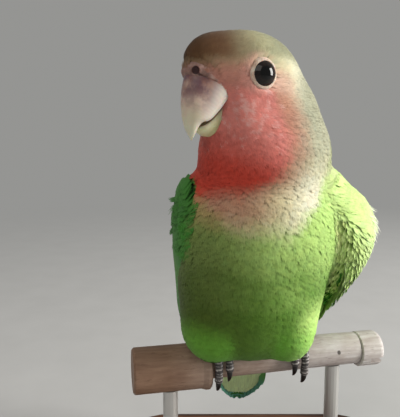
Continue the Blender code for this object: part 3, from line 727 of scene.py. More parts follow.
def make_mesh(name, points, faces, material, colours=None, attributes=(), uv=None,
              normals=None):
    """An object from points in bird coordinates and faces of 3 or 4 corners."""
    mesh = bpy.data.meshes.new(name)
    points = (np.asarray(points) + PERCH_POINT) * MM
    groups = [np.asarray(f, int) for f in faces if len(f)]
    loops = np.concatenate([g.ravel() for g in groups])
    sizes = np.concatenate([np.full(len(g), g.shape[1]) for g in groups])
    mesh.vertices.add(len(points))
    mesh.vertices.foreach_set("co", points.astype(np.float32).ravel())
    mesh.loops.add(len(loops))
    mesh.loops.foreach_set("vertex_index", loops.astype(np.int32))
    mesh.polygons.add(len(sizes))
    mesh.polygons.foreach_set("loop_start",
                              np.concatenate([[0], np.cumsum(sizes)[:-1]]).astype(np.int32))
    mesh.update(calc_edges=True)
    mesh.polygons.foreach_set("use_smooth", np.ones(len(sizes), bool))
    if uv is not None:
        layer = mesh.uv_layers.new(name="OFBake")
        layer.data.foreach_set("uv", uv[loops].astype(np.float32).ravel())
    if colours is not None:
        layer = mesh.attributes.new("plumage", "FLOAT_COLOR", "POINT")
        rgba = np.c_[colours, np.ones(len(colours))]
        layer.data.foreach_set("color", rgba.astype(np.float32).ravel())
    for key, values in dict(attributes).items():
        values = np.asarray(values, np.float32)
        kind, field = (("FLOAT", "value") if values.ndim == 1 else ("FLOAT_VECTOR", "vector"))
        mesh.attributes.new(key, kind, "POINT").data.foreach_set(field, values.ravel())
    if normals is not None:
        mesh.normals_split_custom_set_from_vertices(unit(normals).tolist())
    mesh.materials.append(material)
    made = bpy.data.objects.new(name, mesh)
    bpy.context.scene.collection.objects.link(made)
    return made


def grid_faces(rows, columns, wrap=False):
    """Quads of a grid of points, rows by columns, whose columns may close on themselves."""
    i, j = np.meshgrid(np.arange(rows - 1), np.arange(columns - (not wrap)), indexing="ij")
    k = (j + 1) % columns
    a, b = i * columns + j, i * columns + k
    return np.stack([a, b, b + columns, a + columns], -1).reshape(-1, 4)


def place_piece(made, slot, *replaced):
    """Puts a piece on the body, in place of the nodes named. Its slot is not used."""
    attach(made, "root")
    if replaced:
        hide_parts(*replaced)
    return made


class Parts:
    """Points, faces and values of several shapes that become one mesh."""

    def __init__(self):
        self.points, self.quads, self.count, self.values = [], [], 0, {}

    def add(self, points, quads, **values):
        points = np.asarray(points).reshape(-1, 3)
        self.points.append(points)
        self.quads.append(np.asarray(quads) + self.count)
        self.count += len(points)
        for key, value in values.items():
            value = np.asarray(value, float)
            if value.ndim == 0:
                value = np.full(len(points), float(value))
            self.values.setdefault(key, []).append(value)

    def add_tube(self, rings, wrap=True, turned=False, last=(), **values):
        """Rings of points joined into a closed body. Its end faces hold 0, or last."""
        rows, columns = rings.shape[:2]
        way = -1 if turned else 1
        self.add(rings, grid_faces(rows, columns, wrap)[:, ::way], **values)
        for row, side in ((0, -1), (rows - 1, 1)):
            centre = np.repeat(rings[row].mean(0, keepdims=True), columns, 0)
            ends = {key: 0.0 for key in values} | (dict(last) if row else {})
            self.add(np.stack([rings[row], centre][::side]),
                     grid_faces(2, columns, wrap)[:, ::way], **ends)

    def build(self, name, material):
        values = {k: np.concatenate(v) for k, v in self.values.items()}
        return make_mesh(name, np.concatenate(self.points), [np.concatenate(self.quads)],
                         material, attributes=values)


def round_turn(count):
    """Angles once round, in a row."""
    return (np.arange(count) * 2 * math.pi / count)[None]


def frames_along(path, side):
    """Unit sides and overs along a path, whose sides stay near side."""
    steps = unit(np.gradient(path, axis=0))
    side = unit(np.broadcast_to(side, path.shape) - steps * dot(steps, side))
    return side, np.cross(steps, side)


# Feathers

PATCH = 0.003                   # size of each tuft's patch on the OFBake map
MAP_EDGE = 0.01                 # what the map leaves free at its edges


def vane_template(across, stations, widths, round_tip):
    """A feather's outline: x from -1 to 1 across, y from 0 at the root to 1 at the tip."""
    x = np.linspace(-1, 1, across)
    rows = [np.stack([x * wide, y - round_tip * y ** 3 * x ** 2], -1)
            for y, wide in zip(stations, widths)]
    return np.concatenate(rows), grid_faces(len(stations), across)


def plume_template(across, barbs, fringe, splay=1.12):
    """A soft body feather: a closed vane whose end breaks up into tapering barbs."""
    start = 1 - fringe
    points, faces = vane_template(across, (0.0, 0.35 * start, 0.7 * start, start),
                                  (0.3, 0.8, 1.0, 0.97), 0.3)
    points, faces = [points], [faces]
    count = len(points[0])
    for k in range(barbs):
        middle = (2 * k + 1) / barbs - 1
        reach = 1 - 0.34 * middle ** 2 - 0.25 * fringe * (k % 3)
        base = start - 0.3 * start ** 3 * middle ** 2 - 0.04
        half = 1.15 / barbs
        strip = []
        for share, wide in ((0.0, 1.0), (0.5, 0.8), (1.0, 0.12)):
            at = middle * (1 + (splay - 1) * share)
            y = base + (reach - base) * share
            strip += [(at - half * wide, y), (at + half * wide, y)]
        points.append(np.array(strip))
        faces.append(grid_faces(3, 2) + count)
        count += 6
    return np.concatenate(points), np.concatenate(faces)


def lock_template(strips, spread, width):
    """A fan of tapering barbs."""
    points, faces = [], []
    for k in range(strips):
        lean = 2 * k / (strips - 1) - 1
        reach = 1 - 0.22 * abs(lean) - 0.12 * (k % 2)
        for y, half in ((0.0, width * 0.6), (0.35 * reach, width), (0.75 * reach, width * 0.6),
                        (reach, width * 0.08)):
            middle = lean * spread * (0.25 + 0.75 * (y / reach) ** 1.3)
            points += [(middle - half, y), (middle + half, y)]
        faces.append(grid_faces(4, 2) + 8 * k)
    return np.array(points), np.concatenate(faces)


def blade_template(across, count, belly, end):
    """A long flight feather: slim at the root, widest at belly, rounded from end on."""
    y = np.linspace(0, 1, count) ** 0.9
    widths = 0.35 + 0.65 * smooth(0.0, belly, y)
    tip = np.clip((y - end) / (1 - end), 0, 0.995)
    return vane_template(across, y, widths * np.sqrt(1 - tip ** 2), 0.0)


PLUME = plume_template(6, 9, 0.36)
COVERT = plume_template(7, 11, 0.14, 1.0)
LOCK = lock_template(5, 1.0, 0.17)
PRIMARY = blade_template(7, 18, 0.25, 0.80)
SECONDARY = blade_template(9, 16, 0.30, 0.72)


def weave(name, template, points, normals, colours, roots_uv, material):
    """One mesh of feathers that share an outline, each with its patch on the OFBake map."""
    outline, faces = template
    count, size = points.shape[:2]
    low, high = roots_uv.min(0), roots_uv.max(0)
    corner = MAP_EDGE + (1 - 2 * MAP_EDGE) * (roots_uv - low) / (high - low)
    patch = (outline * (0.5, 1.0) - (0.0, 0.5)) * PATCH
    uv = corner[:, None] + patch[None]
    index = (np.arange(count) * size)[:, None, None] + faces[None]
    vane = np.broadcast_to(np.c_[outline, np.zeros(size)], (count, size, 3))
    made = make_mesh(name, points.reshape(-1, 3), [index.reshape(-1, 4)], material,
                     np.clip(colours, 0, 1).reshape(-1, 3),
                     {"vane": vane.reshape(-1, 3)}, uv.reshape(-1, 2),
                     normals.reshape(-1, 3))
    print("coat piece", name, count, "feathers", 2 * len(index.reshape(-1, 4)), "triangles")
    return place_piece(made, "plumage")


TIP_AIR = 0.6                   # between feather tips and the perch


def settle(points, field_level, field=body_field):
    """Moves points onto a level of the field, and out of the perch."""
    for _ in range(3):
        value, out = gradient(field, points)
        points = points - out * (value - field_level)[..., None]
    off = from_perch(points)
    distance = np.linalg.norm(off, axis=-1, keepdims=True)
    room = PERCH_RADIUS + TIP_AIR
    return points + off / (distance + 1e-6) * np.maximum(room - distance, 0), out


ARCH = 0.08                     # how far a feather's edges bend down, as a share of its width
MIDDLE_DEPTH = (0.07, 0.05)     # of its middle under its tip: share of the coat's, and more
ROOT_SHADE = 0.16               # how much darker its root is


def grow(name, template, roots, lies, lengths, widths, tips, colours, uvs, material,
         over_wing=None):
    """Body feathers: each is bent to lie over the body with its tip at its own level.

    Those that over_wing marks lie over body and wings together.
    """
    outline, _faces = template
    _value, outs = gradient(skin_field, roots)
    lies = unit(lies - outs * dot(lies, outs))
    middle, tip = roots + lies * (lengths * 0.5)[:, None], roots + lies * lengths[:, None]
    low = tips - MIDDLE_DEPTH[0] * coat_depth(roots) - MIDDLE_DEPTH[1]
    if over_wing is not None:
        lifted, lifted_tip = settle(middle, low, cover_field), settle(tip, tips, cover_field)
    middle, out_middle = settle(middle, low)
    tip, out_tip = settle(tip, tips)
    if over_wing is not None:
        choose = over_wing[:, None]
        middle = np.where(choose, lifted[0], middle)
        tip, out_tip = (np.where(choose, a, b) for a, b in zip(lifted_tip, (tip, out_tip)))
    control = 2 * middle - (roots + tip) / 2
    x, y = outline[:, 0][None, :, None], outline[:, 1][None, :, None]
    r, c, t = roots[:, None], control[:, None], tip[:, None]
    spine = (1 - y) ** 2 * r + 2 * y * (1 - y) * c + y ** 2 * t
    normals = unit((1 - y) * outs[:, None] + y * out_tip[:, None])
    ahead = unit(t - r)
    across = unit(np.cross(ahead, normals))
    wide = widths[:, None, None]
    points = spine + across * x * wide - normals * (ARCH * wide * x * x)
    shade = normals + 0.16 * across * x + 0.06 * ahead
    tone = 1.02 - ROOT_SHADE + ROOT_SHADE * np.clip((y - 0.45) / 0.5, 0, 1)
    return weave(name, template, points, shade, colours[:, None] * tone, uvs, material)


def spread_out(points, spacing):
    """Indices of points, in order, that keep at least their spacing from those before."""
    keys = np.floor(points / spacing.max()).astype(int).tolist()
    boxes, kept = {}, []
    near = [(a, b, c) for a in (-1, 0, 1) for b in (-1, 0, 1) for c in (-1, 0, 1)]
    for i, (place, limit) in enumerate(zip(points.tolist(), np.square(spacing).tolist())):
        (px, py, pz), (kx, ky, kz) = place, keys[i]
        if any((px - qx) ** 2 + (py - qy) ** 2 + (pz - qz) ** 2 < limit
               for a, b, c in near
               for qx, qy, qz in boxes.get((kx + a, ky + b, kz + c), ())):
            continue
        boxes.setdefault((kx, ky, kz), []).append(place)
        kept.append(i)
    return np.array(kept)


class Skin:
    """The skin as a grid, from which roots are drawn."""

    ROWS, COLUMNS = 150, 144

    def __init__(self):
        t = np.linspace(0, 1, self.ROWS)
        self.stations = 0.004 + 0.992 * (0.75 * t + 0.25 * (0.5 - 0.5 * np.cos(math.pi * t)))
        self.angles = np.linspace(-math.pi, math.pi, self.COLUMNS)
        self.points, self.tangents = skin_grid(self.stations, self.angles)

    def roots(self, tries, stations, angles, spacing):
        """Roots spread over a part of the skin, with where they are on its unwrap."""
        low, high = stations
        s, a = self.stations, self.angles
        p = self.points
        corner = (p[1:, 1:] - p[:-1, :-1], p[1:, :-1] - p[:-1, 1:])
        area = np.linalg.norm(np.cross(*corner), axis=-1)
        inside = ((s[:-1] >= low) & (s[1:] <= high))[:, None] \
            & ((a[:-1] >= angles[0]) & (a[1:] <= angles[1]))[None]
        share = (area * inside).ravel()
        cells = RNG.choice(share.size, tries, p=share / share.sum())
        i, j = np.divmod(cells, self.COLUMNS - 1)
        f, g = RNG.random((2, tries))
        f3, g3 = f[:, None], g[:, None]
        found = ((1 - f3) * ((1 - g3) * p[i, j] + g3 * p[i, j + 1])
                 + f3 * ((1 - g3) * p[i + 1, j] + g3 * p[i + 1, j + 1]))
        station = s[i] + f * (s[i + 1] - s[i])
        angle = a[j] + g * (a[j + 1] - a[j])
        tangent = self.tangents[i]
        kept = spread_out(found, spacing(found))
        uv = np.stack([(angle - angles[0]) / (angles[1] - angles[0]),
                       (station - low) / (high - low)], -1) * 0.98 + 0.01
        return found[kept], tangent[kept], uv[kept]


BILL_ROOT = head(12.0, 0, -2.5)
NECK_SPAN = (60, 80)            # heights between which the head's lie takes over
TO_TAIL = np.array((0, 0.15, -0.15))
FROM_EYE, LIE_NOISE = 1.2, 0.10     # how strongly feathers turn off the eye, and at random


def lie_of(points, tangents):
    """The way feathers point: away from the bill on the head, down the spine below it."""
    from_bill = unit(points - BILL_ROOT)
    down = unit(-tangents + TO_TAIL)
    share = smooth(*NECK_SPAN, points[:, 2])[:, None]
    lie = share * from_bill + (1 - share) * down
    for side in (1, -1):
        axis = eye_axis(side)
        off = points - eye_centre(side)
        aside = off - dot(off, axis) * axis
        near = smooth(8.5, 4.5, np.linalg.norm(aside, axis=-1)) * (dot(off, axis)[:, 0] > 0)
        lie = unit(lie + FROM_EYE * near[:, None] * unit(aside))
    turn = 0.22 * ripple(points, 9, 3.0) + 0.12 * ripple(points, 3.1, 4.0)
    out = unit(points - ((-2.0, 0, 0) + UP * points[:, 2:3]))
    return unit(lie + np.cross(out, lie) * (turn + RNG.normal(0, LIE_NOISE, len(points)))[:, None])


def bare(points):
    """Where no feather grows: the bill, its cere and the rings of the eyes."""
    f, w, z = np.moveaxis(in_head(points), -1, 0)
    u = np.linspace(0, 1, 60)
    low, high = from_head(curve(CERE_LOW, u)), from_head(curve(CERE_HIGH, u))
    cere = (low + (high - low) * np.linspace(-0.8, 0.93, 9)[:, None, None]).reshape(-1, 3)
    near = f > 6
    away = np.full(len(points), 9.0)
    away[near] = np.linalg.norm(points[near][:, None] - cere[None], axis=-1).min(1)
    on_bill = ((f - 13.2) > 0.35 * (z + 3)) & (z < -1) & (z > -15.2) & (np.abs(w) < 7.5)
    on_bill |= (f > 7.0) & (z < -5.5) & (z > -11.0 - 0.9 * (f - 7.0)) & (np.abs(w) < 3.8)
    ringed = np.zeros(len(points), bool)
    for side in (1, -1):
        hole = from_head(np.array(NOSTRIL[0]) * (1, side, 1))
        on_bill |= np.linalg.norm(points - hole, axis=-1) < BARE_BY_NOSTRIL
        centre, axis, across, up = eye_frame(side)
        off = points - centre
        aside = np.hypot(off @ across / RING_EDGE[0], off @ up / RING_EDGE[1])
        ringed |= (aside < 1) & (dot(off, axis)[:, 0] > 0)
    return on_bill | ringed | (away < 0.75)


SEAM = 0.03         # angle by which the two sides of the coat pass over each other
COAT = (
    # name, stations, angles, candidates
    ("head_left", (0.63, 1.0), (-SEAM, math.pi), 40000),
    ("head_right", (0.63, 1.0), (-math.pi, SEAM), 36000),
    ("neck_left", (0.50, 0.69), (-SEAM, math.pi), 20000),
    ("neck_right", (0.50, 0.69), (-math.pi, SEAM), 20000),
    ("breast_left", (0.27, 0.515), (-SEAM, math.pi), 24000),
    ("breast_right", (0.27, 0.515), (-math.pi, SEAM), 24000),
    ("belly_left", (0.0, 0.285), (-SEAM, math.pi), 22000),
    ("belly_right", (0.0, 0.285), (-math.pi, SEAM), 22000),
)
HEAD_FROM, NECK_TO = 0.63, 0.69     # stations between which hair-like feathers give way


FACE_SPACING = 0.33                 # between roots at the bill, and what it gains
HEAD_SPREAD, BODY_SPREAD = 0.21, 0.145              # over the head and below the neck
LENGTHS, WIDTHS = (5.2, 7.0), (1.3, 1.6)            # of feathers, in spacings between them
TIP_LEVEL, TIP_NOISE = -0.10, 0.04
UNDER = 0.3                         # share of body feathers that lie under the others:
UNDER_DROP, UNDER_WIDER, UNDER_LONGER = 0.13, 0.45, 0.2     # how much lower and larger
HUE_SPREAD = 0.35                   # of a feather's warmth, as a share of its lightness'


def feather_spacing(points):
    """Distance between roots: close on the face, wide on the body."""
    h = in_head(points)
    by_eye = smooth(6.5, 4.2, np.hypot(h[:, 0], h[:, 2])) * (np.abs(h[:, 1]) > 5)
    on_head = FACE_SPACING + HEAD_SPREAD * smooth(4, 26, bill_distance(points))
    return on_head * (1 - 0.15 * by_eye) + BODY_SPREAD * smooth(74, 50, points[:, 2])


def varied(colours, amount):
    """Each feather's colour a little lighter or darker than its neighbours'."""
    count = len(colours)
    light = np.exp(RNG.normal(0, amount, (count, 1)))
    warm = RNG.normal(0, amount * HUE_SPREAD, (count, 1)) * np.array((1.0, 0.0, -1.0))
    return np.clip(colours * light * (1 + warm), 0, 1)


TO_WING = 0.7                       # how far feathers beside a wing turn and reach to it


def beside_wing(roots):
    """How near roots are to a wing's front edge, and the way off from it."""
    _value, outs = gradient(skin_field, roots)
    gap, away = gradient(wing_field, roots)
    beside = smooth(6.0, 1.0, gap) * smooth(12, 24, roots[:, 2])
    beside = beside * np.where(roots[:, 0] > 0, 1, smooth(42, 47, roots[:, 2]))
    return beside * (wing_field(roots + 2.5 * outs) > 0.6), away


def grow_coat(skin, material):
    """Feathers of head, neck, breast and belly, in the pieces that COAT lists."""
    for name, stations, angles, tries in COAT:
        roots, tangents, uvs = skin.roots(tries, stations, angles, feather_spacing)
        keep = ~bare(roots)
        station = stations[0] + uvs[:, 1] * (stations[1] - stations[0])
        share = smooth(HEAD_FROM, NECK_TO, station)
        keep &= RNG.random(len(roots)) < (share if name.startswith("head") else 1 - share) + 0.1
        roots, tangents, uvs = roots[keep], tangents[keep], uvs[keep]
        lies = lie_of(roots, tangents)
        spacing = feather_spacing(roots)
        count = len(roots)
        on_head = name.startswith("head")
        lengths = spacing * RNG.uniform(*LENGTHS, count)
        widths = spacing * RNG.uniform(*WIDTHS, count)
        tips = TIP_LEVEL + RNG.normal(0, TIP_NOISE, count) * spacing
        over_wing = None
        if not on_head:
            under = RNG.random(count) < UNDER
            tips = tips - UNDER_DROP * under
            widths = widths * (1 + UNDER_WIDER * under)
            beside, away = beside_wing(roots)
            lies = unit(lies - TO_WING * away * beside[:, None])
            lengths = lengths * (1 + UNDER_LONGER * under) * (1 + TO_WING * beside)
            over_wing = beside > 0
        places = roots + lies * (lengths * 0.8)[:, None]
        colours = varied(paint(places), 0.05)
        if on_head:
            colours = add_painted_glints(colours, places)
        grow("coat_" + name, LOCK if on_head else PLUME, roots, lies, lengths, widths, tips,
             colours, uvs, material, over_wing=over_wing)


# painted highlights: lines on the face along which pale pink glints are painted
PAINTED_GLINT_LINES = (
    # ends as forward and up, width, strength
    ((4.8, -7.0), (3.4, -13.6), 0.75, 0.9), ((2.7, -7.8), (2.2, -11.6), 0.40, 0.7),
    ((6.2, -9.6), (5.4, -13.2), 0.40, 0.6), ((-1.2, -7.4), (-1.5, -9.2), 0.38, 1.0),
    ((-2.2, -5.2), (-2.5, -6.4), 0.32, 0.9), ((0.6, -11.0), (0.1, -13.6), 0.40, 0.8),
    ((-3.5, -12.2), (-4.1, -14.8), 0.45, 0.7), ((-2.6, -20.0), (-3.4, -24.0), 1.3, 0.45),
    ((1.2, -16.0), (0.6, -18.4), 0.45, 0.5),
)


def add_painted_glints(colours, places):
    """Pale pink tufts and flecks on the cheeks, painted highlights on the feather tips."""
    f, _w, z = np.moveaxis(in_head(places), -1, 0)
    at = np.stack([f, z], -1)
    share = np.zeros(len(places))
    for start, end, width, strength in PAINTED_GLINT_LINES:
        line = np.subtract(end, start)
        along = np.clip((at - start) @ line / (line @ line), 0, 1)
        off = np.linalg.norm(at - start - along[:, None] * line, axis=-1)
        share = np.maximum(share, strength * np.exp(-(off / width) ** 2))
    share = share + 0.10 * smooth(-8, -2, f) * smooth(13, 7, f) * smooth(-26, -16, z) \
        * smooth(-2, -6, z)
    chosen = (RNG.random(len(places)) < share) * RNG.uniform(0.25, 0.80, len(places))
    return mix(colours, PALETTE["painted_glint"], chosen)


# Wings and tail

VANE_CROWN = 0.16                   # how far a vane's middle stands above its edges


def lay(name, blade, template, roots, ends, lengths, halves, levels, tilt, tones, material,
        face=1.0, dip=0.5, tip_from=0.7, leading=1.0):
    """Feathers on one face of a blade. roots holds each one's place along and offset."""
    x, y = template[0].T
    t0, start = roots
    t = t0[:, None] + y * (lengths / blade.length)[:, None]
    offset = start[:, None] + (ends - start)[:, None] * y ** 1.3 \
        + face * x * halves[:, None]
    height = levels[:, None] + face * tilt * x + dip * (smooth(0, 0.45, y) - 1) \
        + VANE_CROWN * (1 - x * x)
    points, normals = blade.flat(t, offset, height, face)
    base, edge, tip = (tone[:, None] for tone in tones)
    painted = mix(base, edge, smooth(-0.15, 0.35, x * leading))
    painted = mix(painted, tip, smooth(tip_from, 1.0, y))
    # painted shade: each feather darker along its edges and towards its root, where its neighbours
    # overlap it
    rim = 1 - 0.30 * smooth(0.80, 0.98, np.abs(x))
    painted = painted * ((0.80 + 0.20 * smooth(0, 0.6, y)) * rim)[:, None]
    uv = np.stack([start, t0], -1)
    return weave(name, template, points, normals, painted, uv, material)


def tones_of(count, *names, amount=0.06):
    return [varied(np.repeat(PALETTE[name][None], count, 0), amount) for name in names]


class Rows:
    """Rows of flight feathers or coverts on a folded wing, gathered into one mesh."""

    def __init__(self, blade, front):
        self.blade, self.front = blade, front
        self.t, self.start, self.end, self.length, self.half, self.level = ([] for _ in
                                                                            range(6))
        self.tones = ([], [], [])

    def add(self, count, t0, t1, sides, sides_end, half, level, tones, step=0.0):
        """count feathers from stations t0 to t1, their sides given as shares of the width."""
        t0, t1 = np.broadcast_to(t0, count), np.broadcast_to(t1, count)
        roots = self.blade.pick(self.blade.wide, t0) * np.linspace(*sides, count)
        ends = self.blade.pick(self.blade.wide, t1) * np.linspace(*sides_end, count)
        jitter = RNG.normal(0, 0.15, (3, count))
        self.t.append(t0 + 0.004 * jitter[0])
        self.start.append(self.front * (roots + jitter[1]))
        self.end.append(self.front * (ends + jitter[2]))
        self.length.append((t1 - t0) * self.blade.length * (1 + 0.18 * jitter[0]))
        self.half.append(np.full(count, half))
        self.level.append(level + step * np.arange(count))
        places, _normals = self.blade.flat(t0, roots * self.front, 0 * t0)
        # painted light: the front of the left wing paled where light falls on it
        painted_light_share = 0.75 * smooth(10.0, -3.0, places[:, 1]) * (places[:, 0] > 0)
        for kept, tone in zip(self.tones, tones_of(count, *tones)):
            kept.append(mix(tone, PALETTE["shoulder"], painted_light_share))

    def weave(self, name, template, material, tilt, **settings):
        join = np.concatenate
        roots = (join(self.t), join(self.start))
        return lay(name, self.blade, template, roots, join(self.end), join(self.length),
                   join(self.half), join(self.level), self.front * tilt,
                   [join(tone) for tone in self.tones], material, leading=self.front,
                   **settings)


def facing_camera(places, start, end):
    """How much places of the left wing face forward, from start to end along Y."""
    return smooth(start, end, places[:, 1]) * (places[:, 0] > 0)


def wing_front(places):
    return facing_camera(places, 3.0, -3.0)


def rate_round(blade, t, angle):
    """Millimetres that a blade's surface runs for each radian of angle."""
    wide, thick = blade.pick(blade.wide, t), blade.pick(blade.thick, t)
    return np.hypot(wide * np.sin(angle), thick * np.cos(angle))


COVERT_TRIES = 9000
COVERT_LENGTHS, COVERT_HALVES = (3.4, 4.2), (1.05, 1.25)    # in spacings between them
COVERT_LOOSENESS = 0.0              # share of its length by which a small covert may stand up
COVERT_DEPTH = 0.9                  # how deep its root is
LEAST_RATE = 3.0                    # below which a blade's surface is taken to be no sharper


def shoulder_coverts(name, blade, stations, angles, spacing, material):
    """Small soft coverts all round a part of a blade, pointing along it."""
    t = RNG.uniform(*stations, COVERT_TRIES)
    angle = RNG.uniform(*angles, COVERT_TRIES)
    rate = rate_round(blade, t, angle)
    keep = RNG.random(COVERT_TRIES) < rate / 15.0
    t, angle, rate = t[keep], angle[keep], np.maximum(rate[keep], LEAST_RATE)
    places, _n = blade.at(t, angle)
    kept = wing_front(places) < 0.8
    places, t, angle, rate = places[kept], t[kept], angle[kept], rate[kept]
    chosen = spread_out(places, np.full(len(t), spacing))
    t, angle, rate = t[chosen], angle[chosen], rate[chosen]
    count = len(t)
    x, y = PLUME[0].T
    lengths = spacing * RNG.uniform(*COVERT_LENGTHS, count)
    halves = spacing * RNG.uniform(*COVERT_HALVES, count)
    drift = RNG.normal(0, 0.05, count)
    along = t[:, None] + y * (lengths / blade.length)[:, None]
    turn = angle[:, None] + drift[:, None] * y - x * (halves / rate)[:, None]
    lift = COVERT_LOOSENESS * RNG.random(count) ** 2 * lengths
    level = RNG.normal(0, 0.05, count)[:, None] - ARCH * x * x \
        - COVERT_DEPTH * (1 - smooth(0, 1.0, y) ** 0.7) + lift[:, None] * y ** 2
    points, normals = blade.at(along, turn, level)
    base, tip = tones_of(count, "wing", "wing_edge", amount=0.07)
    # painted light: coverts at the left wing's front paled to lime, their tips towards near-white
    painted_light_share = facing_camera(places[chosen], 4.0, -5.0)
    base = mix(base, PALETTE["shoulder"], painted_light_share)
    tip = mix(tip, tones_of(count, "down", amount=0.05)[0], 0.7 * painted_light_share)
    painted = mix(base[:, None], tip[:, None], smooth(0.6, 1.0, y))
    # painted shade: darker towards the root, where neighbours overlap it
    painted = painted * (0.82 + 0.18 * smooth(0.2, 0.8, y))[:, None]
    weave(name, PLUME, points, normals, painted, np.stack([angle, t], -1), material)


SCAPULAR_RANGE = (-0.12, 0.46)      # stations along the wing, from before its root
SCAPULAR_TRIES = 14000
SCAPULAR_DEPTH, SCAPULAR_SPACING = 1.1, 0.85
SCAPULAR_REACH, SCAPULAR_TOP = 3.2, 66      # farthest off the wing, and greatest height
SCAPULAR_LENGTHS, SCAPULAR_HALF = (4.2, 5.6), 1.25
SCAPULAR_OUTWARD = 0.7              # how far they turn out over the left wing's front


def grow_scapulars(side, material):
    """Soft feathers that flow from the shoulder over the top of a folded wing."""
    blade = wing_blade(side)
    t = RNG.uniform(*SCAPULAR_RANGE, SCAPULAR_TRIES)
    angle = RNG.uniform(-math.pi, math.pi, SCAPULAR_TRIES)
    places, _normals = blade.at(t, angle, RNG.uniform(0, 3.0, SCAPULAR_TRIES))
    for _ in range(2):
        places, _out = settle(places, -SCAPULAR_DEPTH, cover_field)
    _value, outs = gradient(cover_field, places)
    gap = wing_field(places + SCAPULAR_DEPTH * outs)
    share = smooth(0.22, 0.14, t)
    if side == "left":
        share = np.maximum(share, wing_front(places) * smooth(SCAPULAR_RANGE[1], 0.38, t))
    ends = dot(outs, blade.pick(blade.ahead, t))[:, 0]
    keep = (RNG.random(SCAPULAR_TRIES) < share) & (gap < SCAPULAR_REACH) & (ends < 0.75) \
        & (places[:, 2] < SCAPULAR_TOP)
    places, t, angle, gap = places[keep], t[keep], angle[keep], gap[keep]
    chosen = spread_out(places, np.full(len(t), SCAPULAR_SPACING))
    places, t, angle, gap = places[chosen], t[chosen], angle[chosen], gap[chosen]
    count = len(t)
    outward = SCAPULAR_OUTWARD * wing_front(places)[:, None] * (1.0, 0.0, 0.0) \
        * (side == "left")
    lies = unit(blade.pick(blade.ahead, t) + outward + RNG.normal(0, 0.10, (count, 3)))
    lengths = RNG.uniform(*SCAPULAR_LENGTHS, count)
    tips = places + lies * (lengths * 0.8)[:, None]
    # painted light: scapulars over the left wing's front paled to lime
    wing = mix(PALETTE["wing"], PALETTE["shoulder"], facing_camera(tips, 4.0, -5.0))
    tones = mix(paint(tips), wing, smooth(2.5, 0.5, gap))
    # painted light: scapulars at the left wing's lit outer front paled towards near-white
    pale = 0.16 * smooth(28, 34, tips[:, 0]) * smooth(5.0, -2.0, tips[:, 1])
    outs = gradient(cover_field, places)[1]
    # painted light: feathers at the left wing's front that face away from the light brightened, as
    # if lit through
    glow = 0.34 * wing_front(places) * smooth(0.4, -0.4, outs[:, 0])
    tones = varied(mix(tones, PALETTE["down"], pale) * (1 + glow)[:, None], 0.05)
    grow("coat_scapulars_" + side, PLUME, places, lies, lengths, np.full(count, SCAPULAR_HALF),
         RNG.normal(0.10, 0.05, count), tones, np.stack([angle, t], -1), material,
         over_wing=np.ones(count, bool))


FLUFF_TRIES = 2400
FLUFF_RANGE, FLUFF_ANGLES = (0.08, 0.44), (-0.9, 2.2)
FLUFF_LENGTHS, FLUFF_SPACING = (3.5, 6.5), 1.5
FLUFF_HALF, FLUFF_LIFT = 0.24, (0.05, 0.30)         # as shares of the length


def grow_fluff(material):
    """Loose downy tips that stand out from the left shoulder, pale where light comes through."""
    blade = wing_blade("left")
    t = RNG.uniform(*FLUFF_RANGE, FLUFF_TRIES)
    angle = RNG.uniform(*FLUFF_ANGLES, FLUFF_TRIES)
    places, _n = blade.at(t, angle)
    keep = RNG.random(FLUFF_TRIES) < smooth(1.0, -6.0, places[:, 1]) * smooth(25, 29, places[:, 0])
    t, angle, places = t[keep], angle[keep], places[keep]
    chosen = spread_out(places, np.full(len(t), FLUFF_SPACING))
    t, angle = t[chosen], angle[chosen]
    count = len(t)
    x, y = LOCK[0].T
    lengths = RNG.uniform(*FLUFF_LENGTHS, count)
    rate = np.maximum(rate_round(blade, t, angle), LEAST_RATE)
    along = t[:, None] + y * (lengths / blade.length)[:, None]
    turn = angle[:, None] + RNG.normal(0, 0.10, (count, 1)) * y \
        - x * (FLUFF_HALF * lengths / rate)[:, None]
    lift = RNG.uniform(*FLUFF_LIFT, count) * lengths
    points, normals = blade.at(along, turn, -0.9 + 0.9 * y ** 0.6 + lift[:, None] * y ** 1.7)
    # painted light: pale lime fluff with near-white tips
    base, tip = tones_of(count, "shoulder", "down", amount=0.05)
    painted = mix(base[:, None], tip[:, None], smooth(0.35, 1.0, y))
    weave("coat_shoulder_fluff", LOCK, points, normals, painted, np.stack([angle, t], -1),
          material)


COVERT_ROWS = (
    # count, stations, sides at the root and tip, half width, level, colours, step in level
    (20, 0.25, 0.355, (0.99, -0.99), (0.97, -0.98), 2.0, 0.02, ("wing", "wing", "wing_edge")),
    (19, 0.28, 0.395, (0.99, -0.99), (0.97, -0.98), 2.1, -0.06, ("wing", "wing", "wing_edge")),
    (19, 0.31, 0.445, (0.99, -0.99), (0.97, -0.98), 2.2, -0.14, ("wing", "wing", "wing_edge")),
    (17, 0.34, 0.53, (0.97, -0.97), (0.95, -0.97), 2.6, -0.24,
     ("wing_dark", "wing", "wing_edge")),
    (7, 0.40, 0.63, (0.99, 0.55), (0.96, 0.50), 1.7, -0.36, ("wing_dark", "wing", "wing"), 0.02),
)
PRIMARY_TIPS = np.array((0.955, 0.985, 1.0, 0.99, 0.975, 0.955, 0.935, 0.915, 0.895))


